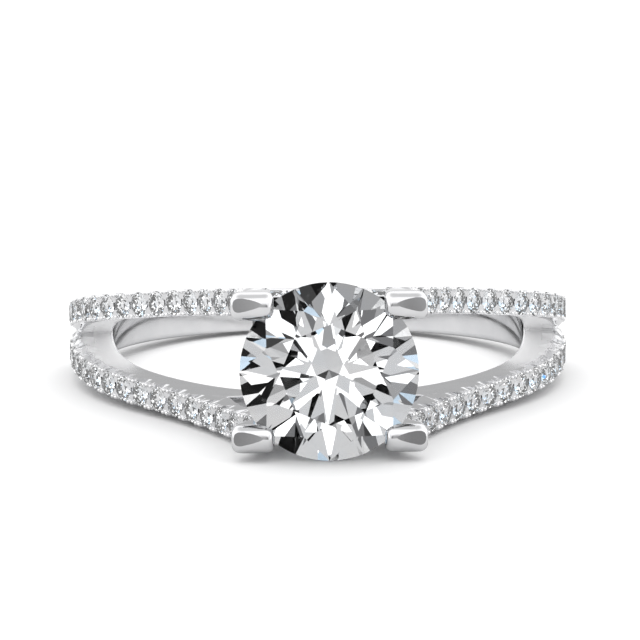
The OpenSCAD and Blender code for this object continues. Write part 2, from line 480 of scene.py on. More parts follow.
@dataclass(frozen=True)
class Paving:
    """The spacing and cuts of a paved face.

    Attributes:
        stone_d: Diameter of a small stone.
        pitch: Distance from one stone to the next.
        first: Distance of the first stone from the claw.
        back_to: Angle from the head at which the row of stones ends.
        metal_drop: Depth of the metal face under the stones' tables.
        seat_r: Radius of the seat cut for a stone.
        seat_depth: Depth of that seat.
        seat_rim: How far its straight rim goes below the metal face.
        seat_tip: Radius of its bottom.
        groove: Half sizes of the groove between two stones, along and across the row.
        groove_depth: Depth of that groove.
        groove_round: Rounding of its corners.
        groove_taper: Share of its width at its bottom.
        cut_r: Radius of the cutter that hollows the wall beside a stone.
        cut_depth: Depth of that hollow at the paved face.
        cut_length: How far the hollow runs down the wall.
        cut_inside_to: Angle from the head past which the lower rows' inner walls aren't cut.
        cut_upper_to: The same for the upper rows, whose inner walls lie over the narrow crotch.
        split_r: Radius of the cutter between two beads.
        split_depth: Depth of its hollow at the face.
        split_length: How far it runs down the wall.
        bead_r: Radius of a bead.
        bead_along: Half the distance between the two beads of a pair.
        bead_across: Distance of the beads from the row's centre.
        post: Length of a bead's post.
        wall: Distance of a row's sides from its centre.
        above: How far a cutter stands out of the face.
        sides: Sides of a round cutter.
    """

    stone_d: float = 0.97
    pitch: float = 1.051
    first: float = -1.201
    back_to: float = 100.0
    metal_drop: float = 0.12
    seat_r: float = 0.48
    seat_depth: float = 0.5
    seat_rim: float = 0.03
    seat_tip: float = 0.17
    groove: Span = (0.075, 0.15)
    groove_depth: float = 0.2
    groove_round: float = 0.05
    groove_taper: float = 0.55
    cut_r: float = 0.4
    cut_depth: float = 0.19
    cut_length: float = 0.72
    cut_inside_to: float = 86.0
    cut_upper_to: float = 60.0
    split_r: float = 0.1
    split_depth: float = 0.1
    split_length: float = 0.42
    bead_r: float = 0.085
    bead_along: float = 0.115
    bead_across: float = 0.425
    post: float = 0.32
    wall: float = 0.515
    above: float = 0.2
    sides: int = 20

    def spots(self, row: Row) -> list[Spot]:
        """The stones' places along a row, from the claw to the back.

        Args:
            row: The row whose face is paved.

        Returns:
            One spot for each stone, on the level of the stones' tables.
        """
        lead, step, near = 4.0, 0.05, 0.2
        angles = np.arange(row.rise_to - lead, self.back_to, step)
        face = np.array([around(a, row.face_r(a)) for a in angles])
        steps = np.linalg.norm(np.diff(face, axis=0), axis=1)
        run = np.concatenate([[0], np.cumsum(steps)])
        start = np.interp(row.rise_to, angles, run)
        made = []
        for i in range(int((run[-1] - start - self.first) / self.pitch) + 1):
            angle = float(np.interp(start + self.first + i * self.pitch, run, angles))
            before, after = angle - near, angle + near
            chord = around(after, row.face_r(after)) - around(before, row.face_r(before))
            slope = row.centre_z(after) - row.centre_z(before)
            flat = chord / np.linalg.norm(chord)
            along = np.array([*chord, slope])
            place = np.array([*around(angle, row.face_r(angle)), row.centre_z(angle)])
            made.append(Spot(place, np.array([flat[1], -flat[0], 0.0]), along / np.linalg.norm(along)))
        return made

    def between(self, spots: Sequence[Spot]) -> list[Spot]:
        """The places half way between neighbouring stones, and one past the last.

        Args:
            spots: The stones' places along a row.

        Returns:
            As many places.
        """
        made = []
        for a, b in zip(spots, spots[1:]):
            outward = (a.outward + b.outward) / np.linalg.norm(a.outward + b.outward)
            along = (a.along + b.along) / np.linalg.norm(a.along + b.along)
            lift = 0.5 * (self.pitch - np.linalg.norm(b.place - a.place))
            made.append(Spot((a.place + b.place) / 2 + lift * outward, outward, along))
        made.append(spots[-1].moved(along=self.pitch / 2))
        return made

    def bead_spots(self, spots: Sequence[Spot]) -> list[Spot]:
        """Four beads at each place between stones: a pair on each edge.

        Args:
            spots: The stones' places along a row.

        Returns:
            One spot for each bead.
        """
        return [
            s.moved(x * self.bead_along, y * self.bead_across)
            for s in self.between(spots)
            for x in (-1, 1)
            for y in (-1, 1)
        ]

    def leaning_rod(self, edge: int, radius: float, depth: float, length: float) -> Solid:
        """A rod beside one edge, which cuts a pointed hollow into the wall.

        Args:
            edge: Which edge, 1 or -1, on the spot's own Y.
            radius: Radius of the rod.
            depth: How deep it cuts at the paved face.
            length: How far down the wall it cuts.

        Returns:
            The rod, around a spot whose outward direction is Z.
        """
        below = 0.25
        slope = depth / length
        ends = []
        for z in (-length - below, self.above):
            end = level_ring(radius, self.sides, z)
            end[:, 1] = edge * (self.wall + radius - depth - slope * z + end[:, 1])
            ends.append(end)
        return Solid.loft(ends)

    def rod_spots(self, spots: Sequence[Spot], edge: int) -> list[Spot]:
        """The places on all four rows where an edge's wall is cut.

        Args:
            spots: The spots of the upper right row.
            edge: Which edge, 1 or -1, on the spot's own Y.

        Returns:
            All spots where the edge is the row's outer one, and the inner ones where the
            rows are far enough apart.
        """
        return [
            s.mirrored(side, level)
            for level in Level
            for side in Side
            for s in spots
            if side.value * level.value == edge or s.angle < self.inside_limit(level)
        ]

    def inside_limit(self, level: Level) -> float:
        """Angle from the head past which the inner walls of a level's rows aren't cut."""
        return self.cut_upper_to if level is Level.UPPER else self.cut_inside_to

    def between_cutter(self) -> Solid:
        """The groove between two stones, narrower at its bottom.

        Returns:
            The groove's solid, around a spot whose outward direction is Z.
        """
        along, y = self.groove
        rings = []
        for z, share in ((self.above / 2, 1.0), (-self.groove_depth, self.groove_taper)):
            x = along * share
            places = ((-x, -y), (x, -y), (x, y), (-x, y))
            corners = [Corner(*place, self.groove_round) for place in places]
            outline = rounded_outline(corners, steps=2, shoulder=0.01)
            rings.append(np.c_[outline, np.full(len(outline), z)])
        return Solid.loft(rings)

    def bead(self) -> Solid:
        """A bead: a short post with a round head, its top on the level of the stones' tables.

        Returns:
            The bead, about Z.
        """
        r = self.bead_r
        # Height, and radius there
        rings = [(-self.post, r), (-0.9 * r, r), (-0.5 * r, 0.88 * r), (-0.18 * r, 0.6 * r), (0.0, 0.2 * r)]
        return Solid.loft([level_ring(radius, 8, z, offset=0.5) for z, radius in rings])

    def seat(self) -> Solid:
        """The cone that is cut under a stone.

        Returns:
            The cone's solid, about Z.
        """
        rim = -self.metal_drop - self.seat_rim
        # Height, and radius there
        rings = [(self.metal_drop, self.seat_r), (rim, self.seat_r), (-self.seat_depth, self.seat_tip)]
        return Solid.loft([level_ring(radius, self.sides, z) for z, radius in rings])


@dataclass(frozen=True)
class Branch:
    """One of the four branches: from the back of the band to its claw.

    Attributes:
        row: The row that it follows.
        paving: The paved face that it carries.
        back_at: Angle at which the bed of the stones ends on the band.
        back_soft: Degrees over which its end falls away.
        bed_from: Angle past which only that bed stands proud of the band.
        fork_at: Angle at which the arm and the rail part.
        bed_in: Radius of the bed's underside, inside the band.
        sunk: How far the bed's end goes down into the band.
        ledge_drop: Least distance of the ledge beside the stones under their metal face.
        ledge_step: Least distance of the paved face's edge from the inner side.
        finger_round: Rounding against the finger, near the head and near the back.
        finger_round_from: Angle at which it starts to grow.
        ledge_round: Rounding of the ledge.
        face_round: Rounding of the metal face.
        arm_round: Rounding of the arm.
        arm_inset: How much narrower the arm is at its face, on each side.
    """

    row: Row
    paving: Paving
    back_at: float = 101.6
    back_soft: float = 1.2
    bed_from: float = 92.0
    fork_at: float = 21.0
    bed_in: float = 9.3
    sunk: float = 0.03
    ledge_drop: float = 0.1
    ledge_step: float = 0.004
    finger_round: Span = (0.07, 0.3)
    finger_round_from: float = 72.0
    ledge_round: float = 0.1
    face_round: float = 0.05
    arm_round: float = 0.06
    arm_inset: float = 0.025

    def section(self, angle: float) -> np.ndarray:
        """Outline of the branch.

        Args:
            angle: Degrees from the head.

        Returns:
            The outline's points, one row each.
        """
        row = self.row
        face = row.face_r(angle) - self.paving.metal_drop
        ledge = min(row.face_r(angle) - row.pave_rise, face - self.ledge_drop)
        half = row.pave_w / 2
        centre = row.centre_z(angle)
        if angle > self.bed_from:
            end = ramp(angle, self.back_at - self.back_soft, self.back_at)
            face -= (face - row.band_r + self.sunk) * end**2
            foot = self.bed_in
            low_in = low_ledge = centre - half
            high_in = high_ledge = centre + half
        else:
            foot = row.finger_r
            low_in, low_ledge = row.inner_z(angle, foot), row.inner_z(angle, ledge)
            high_in, high_ledge = row.outer_z(angle, foot), row.outer_z(angle, ledge)
        low_face = max(centre - half, low_ledge + self.ledge_step)
        finger_round = blend(*self.finger_round, ramp(angle, self.finger_round_from, self.bed_from))
        corners = [
            Corner(foot, low_in, self.finger_round[0]),
            Corner(ledge, low_ledge, self.ledge_round),
            Corner(face, low_face, self.face_round),
            Corner(face, centre + half, self.face_round),
            Corner(ledge, high_ledge, self.ledge_round),
            Corner(foot, high_in, finger_round),
        ]
        return np.array([[*around(angle, r), z] for r, z in rounded_outline(corners)])

    def body(self) -> Solid:
        """The branch without its arm.

        Returns:
            The branch, made at the upper right.
        """
        near_to = 62.0
        # Where a stretch starts and ends, and the step between its sections, in degrees
        stretches = [
            (self.back_at, self.bed_from, 0.4),
            (self.bed_from, near_to, 0.6),
            (near_to, self.fork_at, 1.0),
        ]
        angles = [a for start, end, step in stretches for a in np.arange(start, end, -step)]
        return Solid.loft([self.section(a) for a in [*angles, self.fork_at]])

    def arm_section(self, inside: Span, outside: np.ndarray) -> np.ndarray:
        """Outline of the arm between a point beside the window and one on the face.

        Args:
            inside: X and Y of the point beside the window.
            outside: X and Y of the point on the face.

        Returns:
            The outline's points, one row each.
        """
        a, b = np.array(inside), np.array(outside)
        length = float(np.linalg.norm(b - a))
        (low_a, high_a), (low_b, high_b) = self.sides(a), self.sides(b)
        corners = [
            Corner(0, low_a, self.arm_round),
            Corner(length, low_b + self.arm_inset, self.arm_round),
            Corner(length, high_b - self.arm_inset, self.arm_round),
            Corner(0, high_a, self.arm_round),
        ]
        return np.array([[*(a + (b - a) * w / length), z] for w, z in rounded_outline(corners)])

    def sides(self, point: np.ndarray) -> Span:
        """The row's two sides over a point.

        Args:
            point: Its X and Y.

        Returns:
            The distances of the inner and the outer side from the middle plane.
        """
        angle, radius = math.degrees(math.atan2(point[0], -point[1])), float(np.linalg.norm(point))
        angle = max(angle, self.row.rise_to)
        return self.row.inner_z(angle, radius), self.row.outer_z(angle, radius)

    def arm(self) -> Solid:
        """The arm from the fork to the claw's foot.

        Returns:
            The arm, made at the upper right.
        """
        # Place beside the window, from the middle and above the finger circle, and the angle
        # of the face across from it
        route = [
            (4.25, 0.75, 25.0), (3.95, 0.95, 23.0), (3.66, 1.16, 21.0), (3.53, 1.4, 19.6),
            (3.45, 1.75, 18.4), (3.37, 2.1, 17.5), (3.2, 2.6, 16.6), (2.98, 3.1, 15.8),
            (2.75, 3.6, 15.0), (2.5, 4.0, 14.2), (2.3, 4.35, 13.4), (2.2, 4.7, 12.6),
        ]
        sections = []
        for x, up, angle in route:
            outside = around(angle, self.row.face_r(angle) - self.paving.metal_drop)
            sections.append(self.arm_section((x, -self.row.finger_r - up), outside))
        return Solid.loft(sections)


@dataclass(frozen=True)
class Rail:
    """The low rail that closes the finger circle between the two arms of a row.

    Attributes:
        row: The row that it belongs to.
        thickness: Its thickness at the middle.
        reach: Angle from the head at which it ends, inside the branch.
        step: Degrees between its sections.
        flare: How much thicker it is where it meets the branch.
        flare_span: Angles between which it grows thicker.
        flare_power: How late it does.
        inside_round: Rounding against the finger.
        outside_round: Rounding of its outside.
    """

    row: Row
    thickness: float = 0.7
    reach: float = 25.0
    step: float = 1.25
    flare: float = 1.1
    flare_span: Span = (8.0, 22.0)
    flare_power: float = 1.6
    inside_round: float = 0.07
    outside_round: float = 0.06

    def body(self) -> Solid:
        """The rail, from one fork to the other.

        Returns:
            The rail of the upper row.
        """
        row = self.row
        sections = []
        for angle in np.arange(-self.reach, self.reach + 0.1, self.step):
            away = abs(angle)
            flare = self.flare * ramp(away, *self.flare_span) ** self.flare_power
            top = row.finger_r + self.thickness + flare
            at = max(away, row.rise_to)
            corners = [
                Corner(row.finger_r, row.inner_z(at, row.finger_r), self.inside_round),
                Corner(top, row.inner_z(at, top), self.outside_round),
                Corner(top, row.outer_z(at, top), self.outside_round),
                Corner(row.finger_r, row.outer_z(at, row.finger_r), self.inside_round),
            ]
            sections.append(np.array([[*around(angle, r), z] for r, z in rounded_outline(corners)]))
        return Solid.loft(sections)


@dataclass(frozen=True)
class BackBand:
    """The plain back of the band, domed outside, with soft edges against the finger.

    Attributes:
        row: The row that it runs into.
        width: Its width at the shoulders.
        back_width: Its width at the back.
        draft: How much narrower its outside is on each edge, at the back.
        dome: Radius of the domed outside, across its width.
        domed: Share of the outside's width that is drawn as an arc.
        edge: Rounding of its outer edges.
        comfort: Rounding of its inner edges near the shoulders.
        back_comfort: The same at the back.
        back_span: Degrees from the back between which it changes to the shoulders' form.
        past_split: Degrees by which it goes on past the split, inside the branches.
        sections: Number of its sections.
    """

    row: Row
    width: float = 2.36
    back_width: float = 1.84
    draft: float = 0.13
    dome: float = 3.0
    domed: float = 0.8
    edge: float = 0.16
    comfort: float = 0.34
    back_comfort: float = 0.08
    back_span: Span = (12.0, 80.0)
    past_split: float = 0.5
    sections: int = 160

    def section(self, angle: float) -> np.ndarray:
        """Outline of the band.

        Args:
            angle: Degrees from the head.

        Returns:
            The outline's points, one row each.
        """
        row = self.row
        # It narrows from the split to a place a little past the back
        front = -row.band_r * cosine(row.split_at)
        back = row.band_r + 0.5
        y = -(row.finger_r + row.band_t / 2) * cosine(angle)
        half = blend(self.width, self.back_width, ramp(y, front, back)) / 2
        to_back = ramp(abs(180 - angle), *self.back_span)
        soft = blend(self.back_comfort, self.comfort, to_back)
        dome_x = row.band_r - self.dome
        outer = half - self.draft * (1 - to_back)
        edge_r = dome_x + math.sqrt(self.dome**2 - outer**2)
        levels = np.linspace(-self.domed * outer, self.domed * outer, 9)
        arc = [(dome_x + math.sqrt(self.dome**2 - z * z), z) for z in levels]
        corners = [
            Corner(edge_r, outer, self.edge), Corner(row.finger_r, half, soft),
            Corner(row.finger_r, -half, soft), Corner(edge_r, -outer, self.edge),
        ]
        outline = np.vstack([rounded_outline(corners, steps=6), arc])
        return np.array([[*around(angle, r), z] for r, z in outline])

    def body(self) -> Solid:
        """The band, from one shoulder to the other."""
        start = self.row.split_at - self.past_split
        return Solid.loft([self.section(a) for a in np.linspace(start, 360 - start, self.sections)])


@dataclass(frozen=True)
class Claw:
    """A claw: a stem beside the stone and a rounded tip over its edge, filed flat on top.

    Attributes:
        row: The row that it stands on.
        centre_x: Distance of its tip's centre from the middle.
        splay: How far it leans outwards, in degrees.
        length: Length of the tip over the stone.
        width: Width of the tip.
        stem_out: Distance of the stem's outer side from the middle, where it is thinnest.
        stem_in: Distance of the stem's inner side from the middle.
        top: Height of its top above the finger circle.
        foot: Height of its foot above the finger circle.
        rim: Rounding of the tip's edge.
        dome: How far the top falls away to its sides.
        dome_from: How far under the top that starts.
        stem_round: Rounding of the stem's corners.
        tip_round: Rounding of the tip's outer corners.
        rounder: Heights above the foot between which the one becomes the other.
        inner_round: Share of that rounding at the inner corners.
        filed: Depth of the filed flat at the outer end.
        filed_from: Distance of the flat's start from the tip's inner end.
        filed_power: How late it deepens.
        filed_tilt: How far it leans to look up, for each millimetre across.
    """

    row: Row
    centre_x: float = 2.72
    splay: float = 2.0
    length: float = 1.53
    width: float = 1.02
    stem_out: float = 2.86
    stem_in: float = 2.05
    top: float = 6.92
    foot: float = 3.8
    rim: float = 0.27
    dome: float = 0.2
    dome_from: float = 0.6
    stem_round: float = 0.12
    tip_round: float = 0.38
    rounder: Span = (1.2, 2.3)
    inner_round: float = 0.8
    filed: float = 0.1
    filed_from: float = 0.34
    filed_power: float = 1.3
    filed_tilt: float = 0.1

    @property
    def outer_x(self) -> float:
        """Distance of its outer side from the middle."""
        return self.centre_x + self.length / 2

    @property
    def inner_x(self) -> float:
        """Distance of the tip's inner end from the middle."""
        return self.centre_x - self.length / 2

    def sides(self, height: float) -> Span:
        """Inner and outer side of the claw at a height.

        Args:
            height: Height above the finger circle.

        Returns:
            Their distances from the middle.
        """
        # Height above the foot, and the inner and the outer side there
        shape = [
            (0.0, self.stem_in + 0.1, self.outer_x - 0.1), (0.5, self.stem_in, 3.12),
            (1.3, self.stem_in, self.stem_out), (1.75, self.stem_in, 2.98),
            (2.1, self.inner_x + 0.05, 3.33), (2.35, self.inner_x, self.outer_x),
        ]
        heights = [self.foot + up for up, _, _ in shape]
        inner = np.interp(height, heights, [near for _, near, _ in shape])
        outer = np.interp(height, heights, [far for _, _, far in shape])
        return float(inner), float(outer)

    def outline(self, height: float) -> np.ndarray:
        """Outline of the claw at a height.

        Args:
            height: Height above the finger circle.

        Returns:
            The outline's points: distance from the middle, and across the claw.
        """
        shrink = self.shrink(height)
        inner, outer = self.sides(height)
        start, end = (self.foot + up for up in self.rounder)
        soft = blend(self.stem_round, self.tip_round, ramp(height, start, end))
        softer = soft * self.inner_round
        outer -= shrink
        inner += shrink
        half = self.width / 2 - shrink
        corners = [
            Corner(inner, -half, softer), Corner(outer, -half, soft),
            Corner(outer, half, soft), Corner(inner, half, softer),
        ]
        return rounded_outline(corners, steps=7, shoulder=0.03)

    def shrink(self, height: float) -> float:
        """How far the sides have drawn in near the top."""
        rest = ramp(height, self.top - self.rim, self.top)
        return self.rim * (1 - math.sqrt(max(0.0, 1 - rest * rest)))

    def body(self) -> Solid:
        """The claw without its flat.

        Returns:
            The claw, placed at the upper right.
        """
        low = np.linspace(self.foot, self.foot + 1.7, 8)
        mid = np.linspace(self.foot + 1.8, self.top - 0.2, 10)
        tip = self.top - self.rim + self.rim * np.sin(np.linspace(0, math.pi / 2, 8))
        # The last outline lies a hair under the top, where it still has a width
        last = self.top - 1e-4
        sections = []
        for height in [*low, *mid, *tip[:-1], last]:
            flat = self.outline(height)
            near_top = ramp(height, self.top - self.dome_from, self.top)
            fall = self.dome * near_top * (flat[:, 1] / (self.width / 2)) ** 2
            sections.append(np.c_[flat[:, 0], -(self.row.finger_r + height - fall), flat[:, 1]])
        return self.placed(self.crowned(Solid.loft(sections)))

    def crowned(self, solid: Solid) -> Solid:
        """Closes the top with rings and a fan over a middle point, so that it is domed.

        Args:
            solid: The claw, closed by one flat face.

        Returns:
            The claw with a domed top instead of that face.
        """
        count = len(solid.faces[-1])
        last = solid.points[-count:]
        rings = []
        middle = np.array([last[:, 0].mean(), -(self.row.finger_r + self.top), 0.0])
        for share in (0.8, 0.6, 0.4, 0.2):
            ring = middle + (last - middle) * share
            fall = self.dome * (ring[:, 2] / (self.width / 2)) ** 2
            ring[:, 1] = -(self.row.finger_r + self.top - fall)
            rings.append(ring)
        base = len(solid.points) - count
        points = np.vstack([solid.points, *rings, middle])
        faces = solid.faces[:-1]
        for level in range(len(rings)):
            a, b = base + level * count, base + (level + 1) * count
            faces += [(a + i, a + (i + 1) % count, b + (i + 1) % count, b + i) for i in range(count)]
        inner = base + len(rings) * count
        faces += [(inner + i, inner + (i + 1) % count, len(points) - 1) for i in range(count)]
        return Solid(points, faces)

    def flat(self, level: Level) -> Solid:
        """The block that files the tip: its underside slopes to the outside, and looks up.

        Args:
            level: The row of the claw; the flats of both look up from the table.

        Returns:
            The block, placed at the upper right.
        """
        top = self.row.finger_r + self.top
        tilt = self.filed_tilt * level.value
        start, end = self.inner_x + self.filed_from, self.outer_x + 0.1
        # How far its start clears the tip, its half width, and how far it stands over the tip
        lift, reach, above = 0.006, 0.8, 0.5
        sections = []
        for share in np.linspace(0, 1, 9):
            x = blend(start, end, share)
            depth = self.filed * share**self.filed_power - lift
            low = [[x, -(top - depth - tilt * z), z] for z in (-reach, reach)]
            high = [[x, -(top + above), z] for z in (reach, -reach)]
            sections.append(np.array(low + high, float))
        return self.placed(Solid.loft(sections))

    def placed(self, solid: Solid) -> Solid:
        """Moves a solid from the middle plane to the claw's place, and leans it.

        Args:
            solid: The solid, upright in the middle plane.

        Returns:
            The solid at the upper right claw.
        """
        c, s = cosine(self.splay), sine(self.splay)
        pivot = np.array([0, -(self.row.finger_r + self.foot), 0])
        p = solid.points - pivot
        turned = np.c_[p[:, 0], p[:, 1] * c + p[:, 2] * s, -p[:, 1] * s + p[:, 2] * c]
        return Solid(turned + pivot + np.array([0, 0, self.row.head_z]), solid.faces)


@dataclass(frozen=True)
class Basket:
    """The bars under the stone: one paved bridge in each row, and two hidden side bars.

    Attributes:
        row: The row that it joins.
        claw: The claws that it joins.
        paving: The paved faces of the bridges.
        bridge_up: Height of the bridges' middle above the finger circle.
        bridge_w: Width of a bridge.
        bridge_top: Distance of its paved face from the middle plane.
        stones: Number of stones on a bridge.
        spacing: Distance between them.
        bar: Thickness of a side bar.
        set_back: How far a bridge's inner side is set back from the claws' own.
    """

    row: Row
    claw: Claw
    paving: Paving
    bridge_up: float = 4.2
    bridge_w: float = 1.0
    bridge_top: float = 2.68
    stones: int = 5
    spacing: float = 0.96
    bar: float = 0.75
    set_back: float = 0.05

    def box(self, low: Sequence[float], high: Sequence[float], rounding: float = 0.06) -> Solid:
        """A bar with rounded long edges.

        Args:
            low: Its lowest corner.
            high: Its highest corner.
            rounding: Rounding of its long edges.

        Returns:
            The bar, which runs along its longest side.
        """
        size = np.array(high) - np.array(low)
        axis = int(np.argmax(size))
        a, b = [i for i in range(3) if i != axis]
        corners = [
            Corner(low[a], low[b], rounding), Corner(high[a], low[b], rounding),
            Corner(high[a], high[b], rounding), Corner(low[a], high[b], rounding),
        ]
        outline = rounded_outline(corners)
        sections = []
        for end in (low[axis], high[axis]):
            ring = np.zeros((len(outline), 3))
            ring[:, axis], ring[:, a], ring[:, b] = end, outline[:, 0], outline[:, 1]
            sections.append(ring)
        return Solid.loft(sections)

    def bridge(self) -> Solid:
        """The bar between the two upper claws, without its seats.

        Returns:
            The upper bridge.
        """
        y = self.row.finger_r + self.bridge_up
        x = self.claw.centre_x
        low = self.row.head_z - self.claw.width / 2 + self.set_back
        top = self.bridge_top - self.paving.metal_drop
        return self.box((-x, -y - self.bridge_w / 2, low), (x, -y + self.bridge_w / 2, top))

    def side_bar(self) -> Solid:
        """The side bar that joins the two levels.

        Returns:
            The bar on the right.
        """
        y = -(self.row.finger_r + self.bridge_up) + self.bridge_w / 2
        x = self.claw.outer_x - self.claw.length
        return self.box((x, y - self.bar, -self.row.head_z), (x + self.bar, y, self.row.head_z))

    def spots(self) -> list[Spot]:
        """The stones' places on the upper bridge.

        Returns:
            One spot for each stone, on the level of the stones' tables.
        """
        y = self.row.finger_r + self.bridge_up
        first = -(self.stones - 1) / 2
        places = [np.array([(first + i) * self.spacing, -y, self.bridge_top]) for i in range(self.stones)]
        return [Spot(place, np.array([0.0, 0, 1]), np.array([1.0, 0, 0])) for place in places]


class Facets:
    """The facets of a stone, which share their corners."""

    def __init__(self) -> None:
        """Starts with none."""
        self.points: list[np.ndarray] = []
        self.faces: list[tuple[int, ...]] = []
        self.index: dict[tuple[float, ...], int] = {}

    def put(self, point: np.ndarray) -> int:
        """Number of a corner, a new one or one that another facet has.

        Args:
            point: Where it is.

        Returns:
            Its number.
        """
        key = tuple(np.round(point, 6))
        if key not in self.index:
            self.index[key] = len(self.points)
            self.points.append(point)
        return self.index[key]

    def add(self, *corners: np.ndarray) -> None:
        """Adds a facet between corners."""
        self.faces.append(tuple(self.put(corner) for corner in corners))


@dataclass(frozen=True)
class BrilliantCut:
    """Proportions of a round brilliant, as shares of its diameter, and angles in degrees.

    Attributes:
        table: Width of the table, from corner to corner.
        crown: Angle of the crown's kites.
        pavilion: Angle of the pavilion's mains.
        star: How far the stars reach from the table's edge to the girdle.
        lower: How far the lower halves reach from the girdle to the culet.
        girdle: Thickness of the girdle.
        arcs: Edges of the outline in each of its 16 arcs.
    """

    table: float = 0.56
    crown: float = 34.5
    pavilion: float = 40.8
    star: float = 0.5
    lower: float = 0.77
    girdle: float = 0.03
    arcs: int = 4

    def solid(self, diameter: float) -> Solid:
        """The stone about the origin, its girdle at Z 0 and its table up.

        Args:
            diameter: Width across the girdle.

        Returns:
            The closed stone, with one face for each facet.
        """
        g = self.girdle
        slope_up, slope_down = tangent(self.crown), tangent(self.pavilion)
        half_step = cosine(SIXTEENTH)
        edge = self.table * half_step
        star_r, low_r = edge + (1 - edge) * self.star, 1 - self.lower
        crown_h = g + (1 - self.table) * slope_up
        star_h = g + (1 - star_r * half_step) * slope_up
        low_h = -g - (1 - low_r * half_step) * slope_down
        tables = [polar(self.table, EIGHTH * k, crown_h) for k in range(8)]
        stars = [polar(star_r, EIGHTH * k + SIXTEENTH, star_h) for k in range(8)]
        lows = [polar(low_r, EIGHTH * k + SIXTEENTH, low_h) for k in range(8)]
        culet = polar(0, 0, -g - slope_down)
        facets = Facets()
        facets.add(*tables)
        for k in range(8):
            facets.add(tables[k], tables[(k + 1) % 8], stars[k])
            facets.add(tables[k], stars[k - 1], polar(1, EIGHTH * k, g), stars[k])
            facets.add(culet, lows[k], polar(1, EIGHTH * k, -g), lows[k - 1])
            for arc in (2 * k, 2 * k + 1):
                upper = self.rim(arc, stars[k], g)
                under = self.rim(arc, lows[k], -g)
                facets.add(stars[k], *upper)
                facets.add(lows[k], *under)
                for i in range(self.arcs):
                    facets.add(upper[i], upper[i + 1], under[i + 1], under[i])
        return Solid(np.array(facets.points) * diameter / 2, facets.faces)

    def rim(self, arc: int, apex: np.ndarray, level: float) -> list[np.ndarray]:
        """Points of an arc of the girdle, in the plane of the facet that ends there.

        Args:
            arc: Number of the arc, of 16.
            apex: The facet's far corner.
            level: Height of the arc's two ends.

        Returns:
            The points, from one end to the other.
        """
        a, b = polar(1, SIXTEENTH * arc, level), polar(1, SIXTEENTH * (arc + 1), level)
        normal = np.cross(b - a, apex - a)
        made = []
        for i in range(self.arcs + 1):
            p = polar(1, SIXTEENTH * (arc + i / self.arcs), level)
            p[2] = a[2] - (normal[0] * (p[0] - a[0]) + normal[1] * (p[1] - a[1])) / normal[2]
            made.append(p)
        return made


class Graph:
    """Adds nodes to a node tree, whichever kind it is."""

    def __init__(self, tree: bpy.types.NodeTree) -> None:
        """Keeps the tree, emptied."""
        self.tree = tree
        tree.nodes.clear()

    def add(
        self, kind: str, settings: dict[str, Any] | None = None, inputs: dict[Any, Any] | None = None
    ) -> bpy.types.Node:
        """Adds a node.

        Args:
            kind: The node's type.
            settings: Its properties, set first; "stops" are a ramp's places and colours.
            inputs: Values or links of its sockets, by name or number.

        Returns:
            The node.
        """
        node = self.tree.nodes.new(kind)
        for name, value in (settings or {}).items():
            if name == "stops":
                self.set_stops(node, value)
            else:
                setattr(node, name, value)
        for name, value in (inputs or {}).items():
            self.feed(node.inputs[name], value)
        return node

    def set_stops(self, node: bpy.types.Node, stops: Sequence[tuple[float, Sequence[float]]]) -> None:
        """Sets the stops of a colour ramp.

        Args:
            node: The ramp.
            stops: The place of each stop, and its red, green and blue.
        """
        elements = node.color_ramp.elements
        while len(elements) < len(stops):
            elements.new(0.5)
        for element, (place, colour) in zip(elements, stops):
            element.position = place
            element.color = (*colour, 1.0)

    def feed(self, socket: bpy.types.NodeSocket, value: Any) -> None:
        """Links a socket to another's output, or sets its value.

        Args:
            socket: The input socket.
            value: A field, an output socket or a plain value.
        """
        if isinstance(value, Field):
            value = value.socket
        if isinstance(value, bpy.types.NodeSocket):
            self.tree.links.new(value, socket)
        else:
            socket.default_value = value

    def mixed(self, first: Any, second: Any, share: Any) -> bpy.types.NodeSocket:
        """Colour between two others."""
        node = self.add("ShaderNodeMix", {"data_type": "RGBA"}, {0: share, 6: first, 7: second})
        return node.outputs[2]


class Field:
    """A number that changes over a surface, with arithmetic that adds Math nodes."""

    def __init__(self, graph: Graph, socket: bpy.types.NodeSocket) -> None:
        """Wraps an output socket."""
        self.graph = graph
        self.socket = socket

    def maths(self, operation: str, first: Any, second: Any = 0.0, clamp: bool = False) -> "Field":
        """Adds a Math node.

        Args:
            operation: What it works out.
            first: Its first value, a field or a number.
            second: Its second value.
            clamp: Whether the result is held between 0 and 1.

        Returns:
            Its result.
        """
        settings = {"operation": operation, "use_clamp": clamp}
        node = self.graph.add("ShaderNodeMath", settings, {0: first, 1: second})
        return Field(self.graph, node.outputs[0])

    def __add__(self, other: Any) -> "Field":
        """Sum."""
        return self.maths("ADD", self, other)

    __radd__ = __add__

    def __mul__(self, other: Any) -> "Field":
        """Product."""
        return self.maths("MULTIPLY", self, other)

    __rmul__ = __mul__

    def __sub__(self, other: Any) -> "Field":
        """Difference."""
        return self.maths("SUBTRACT", self, other)

    def __rsub__(self, other: Any) -> "Field":
        """Difference, with the field second."""
        return self.maths("SUBTRACT", other, self)

    def of(self, operation: str, second: Any = 0.0) -> "Field":
        """Another operation on the field, such as its square root."""
        return self.maths(operation, self, second)

    def ramped(self, start: float, end: float) -> "Field":
        """Share of the way from start to end, held between 0 and 1."""
        return self.maths("MULTIPLY", self - start, 1 / (end - start), clamp=True)


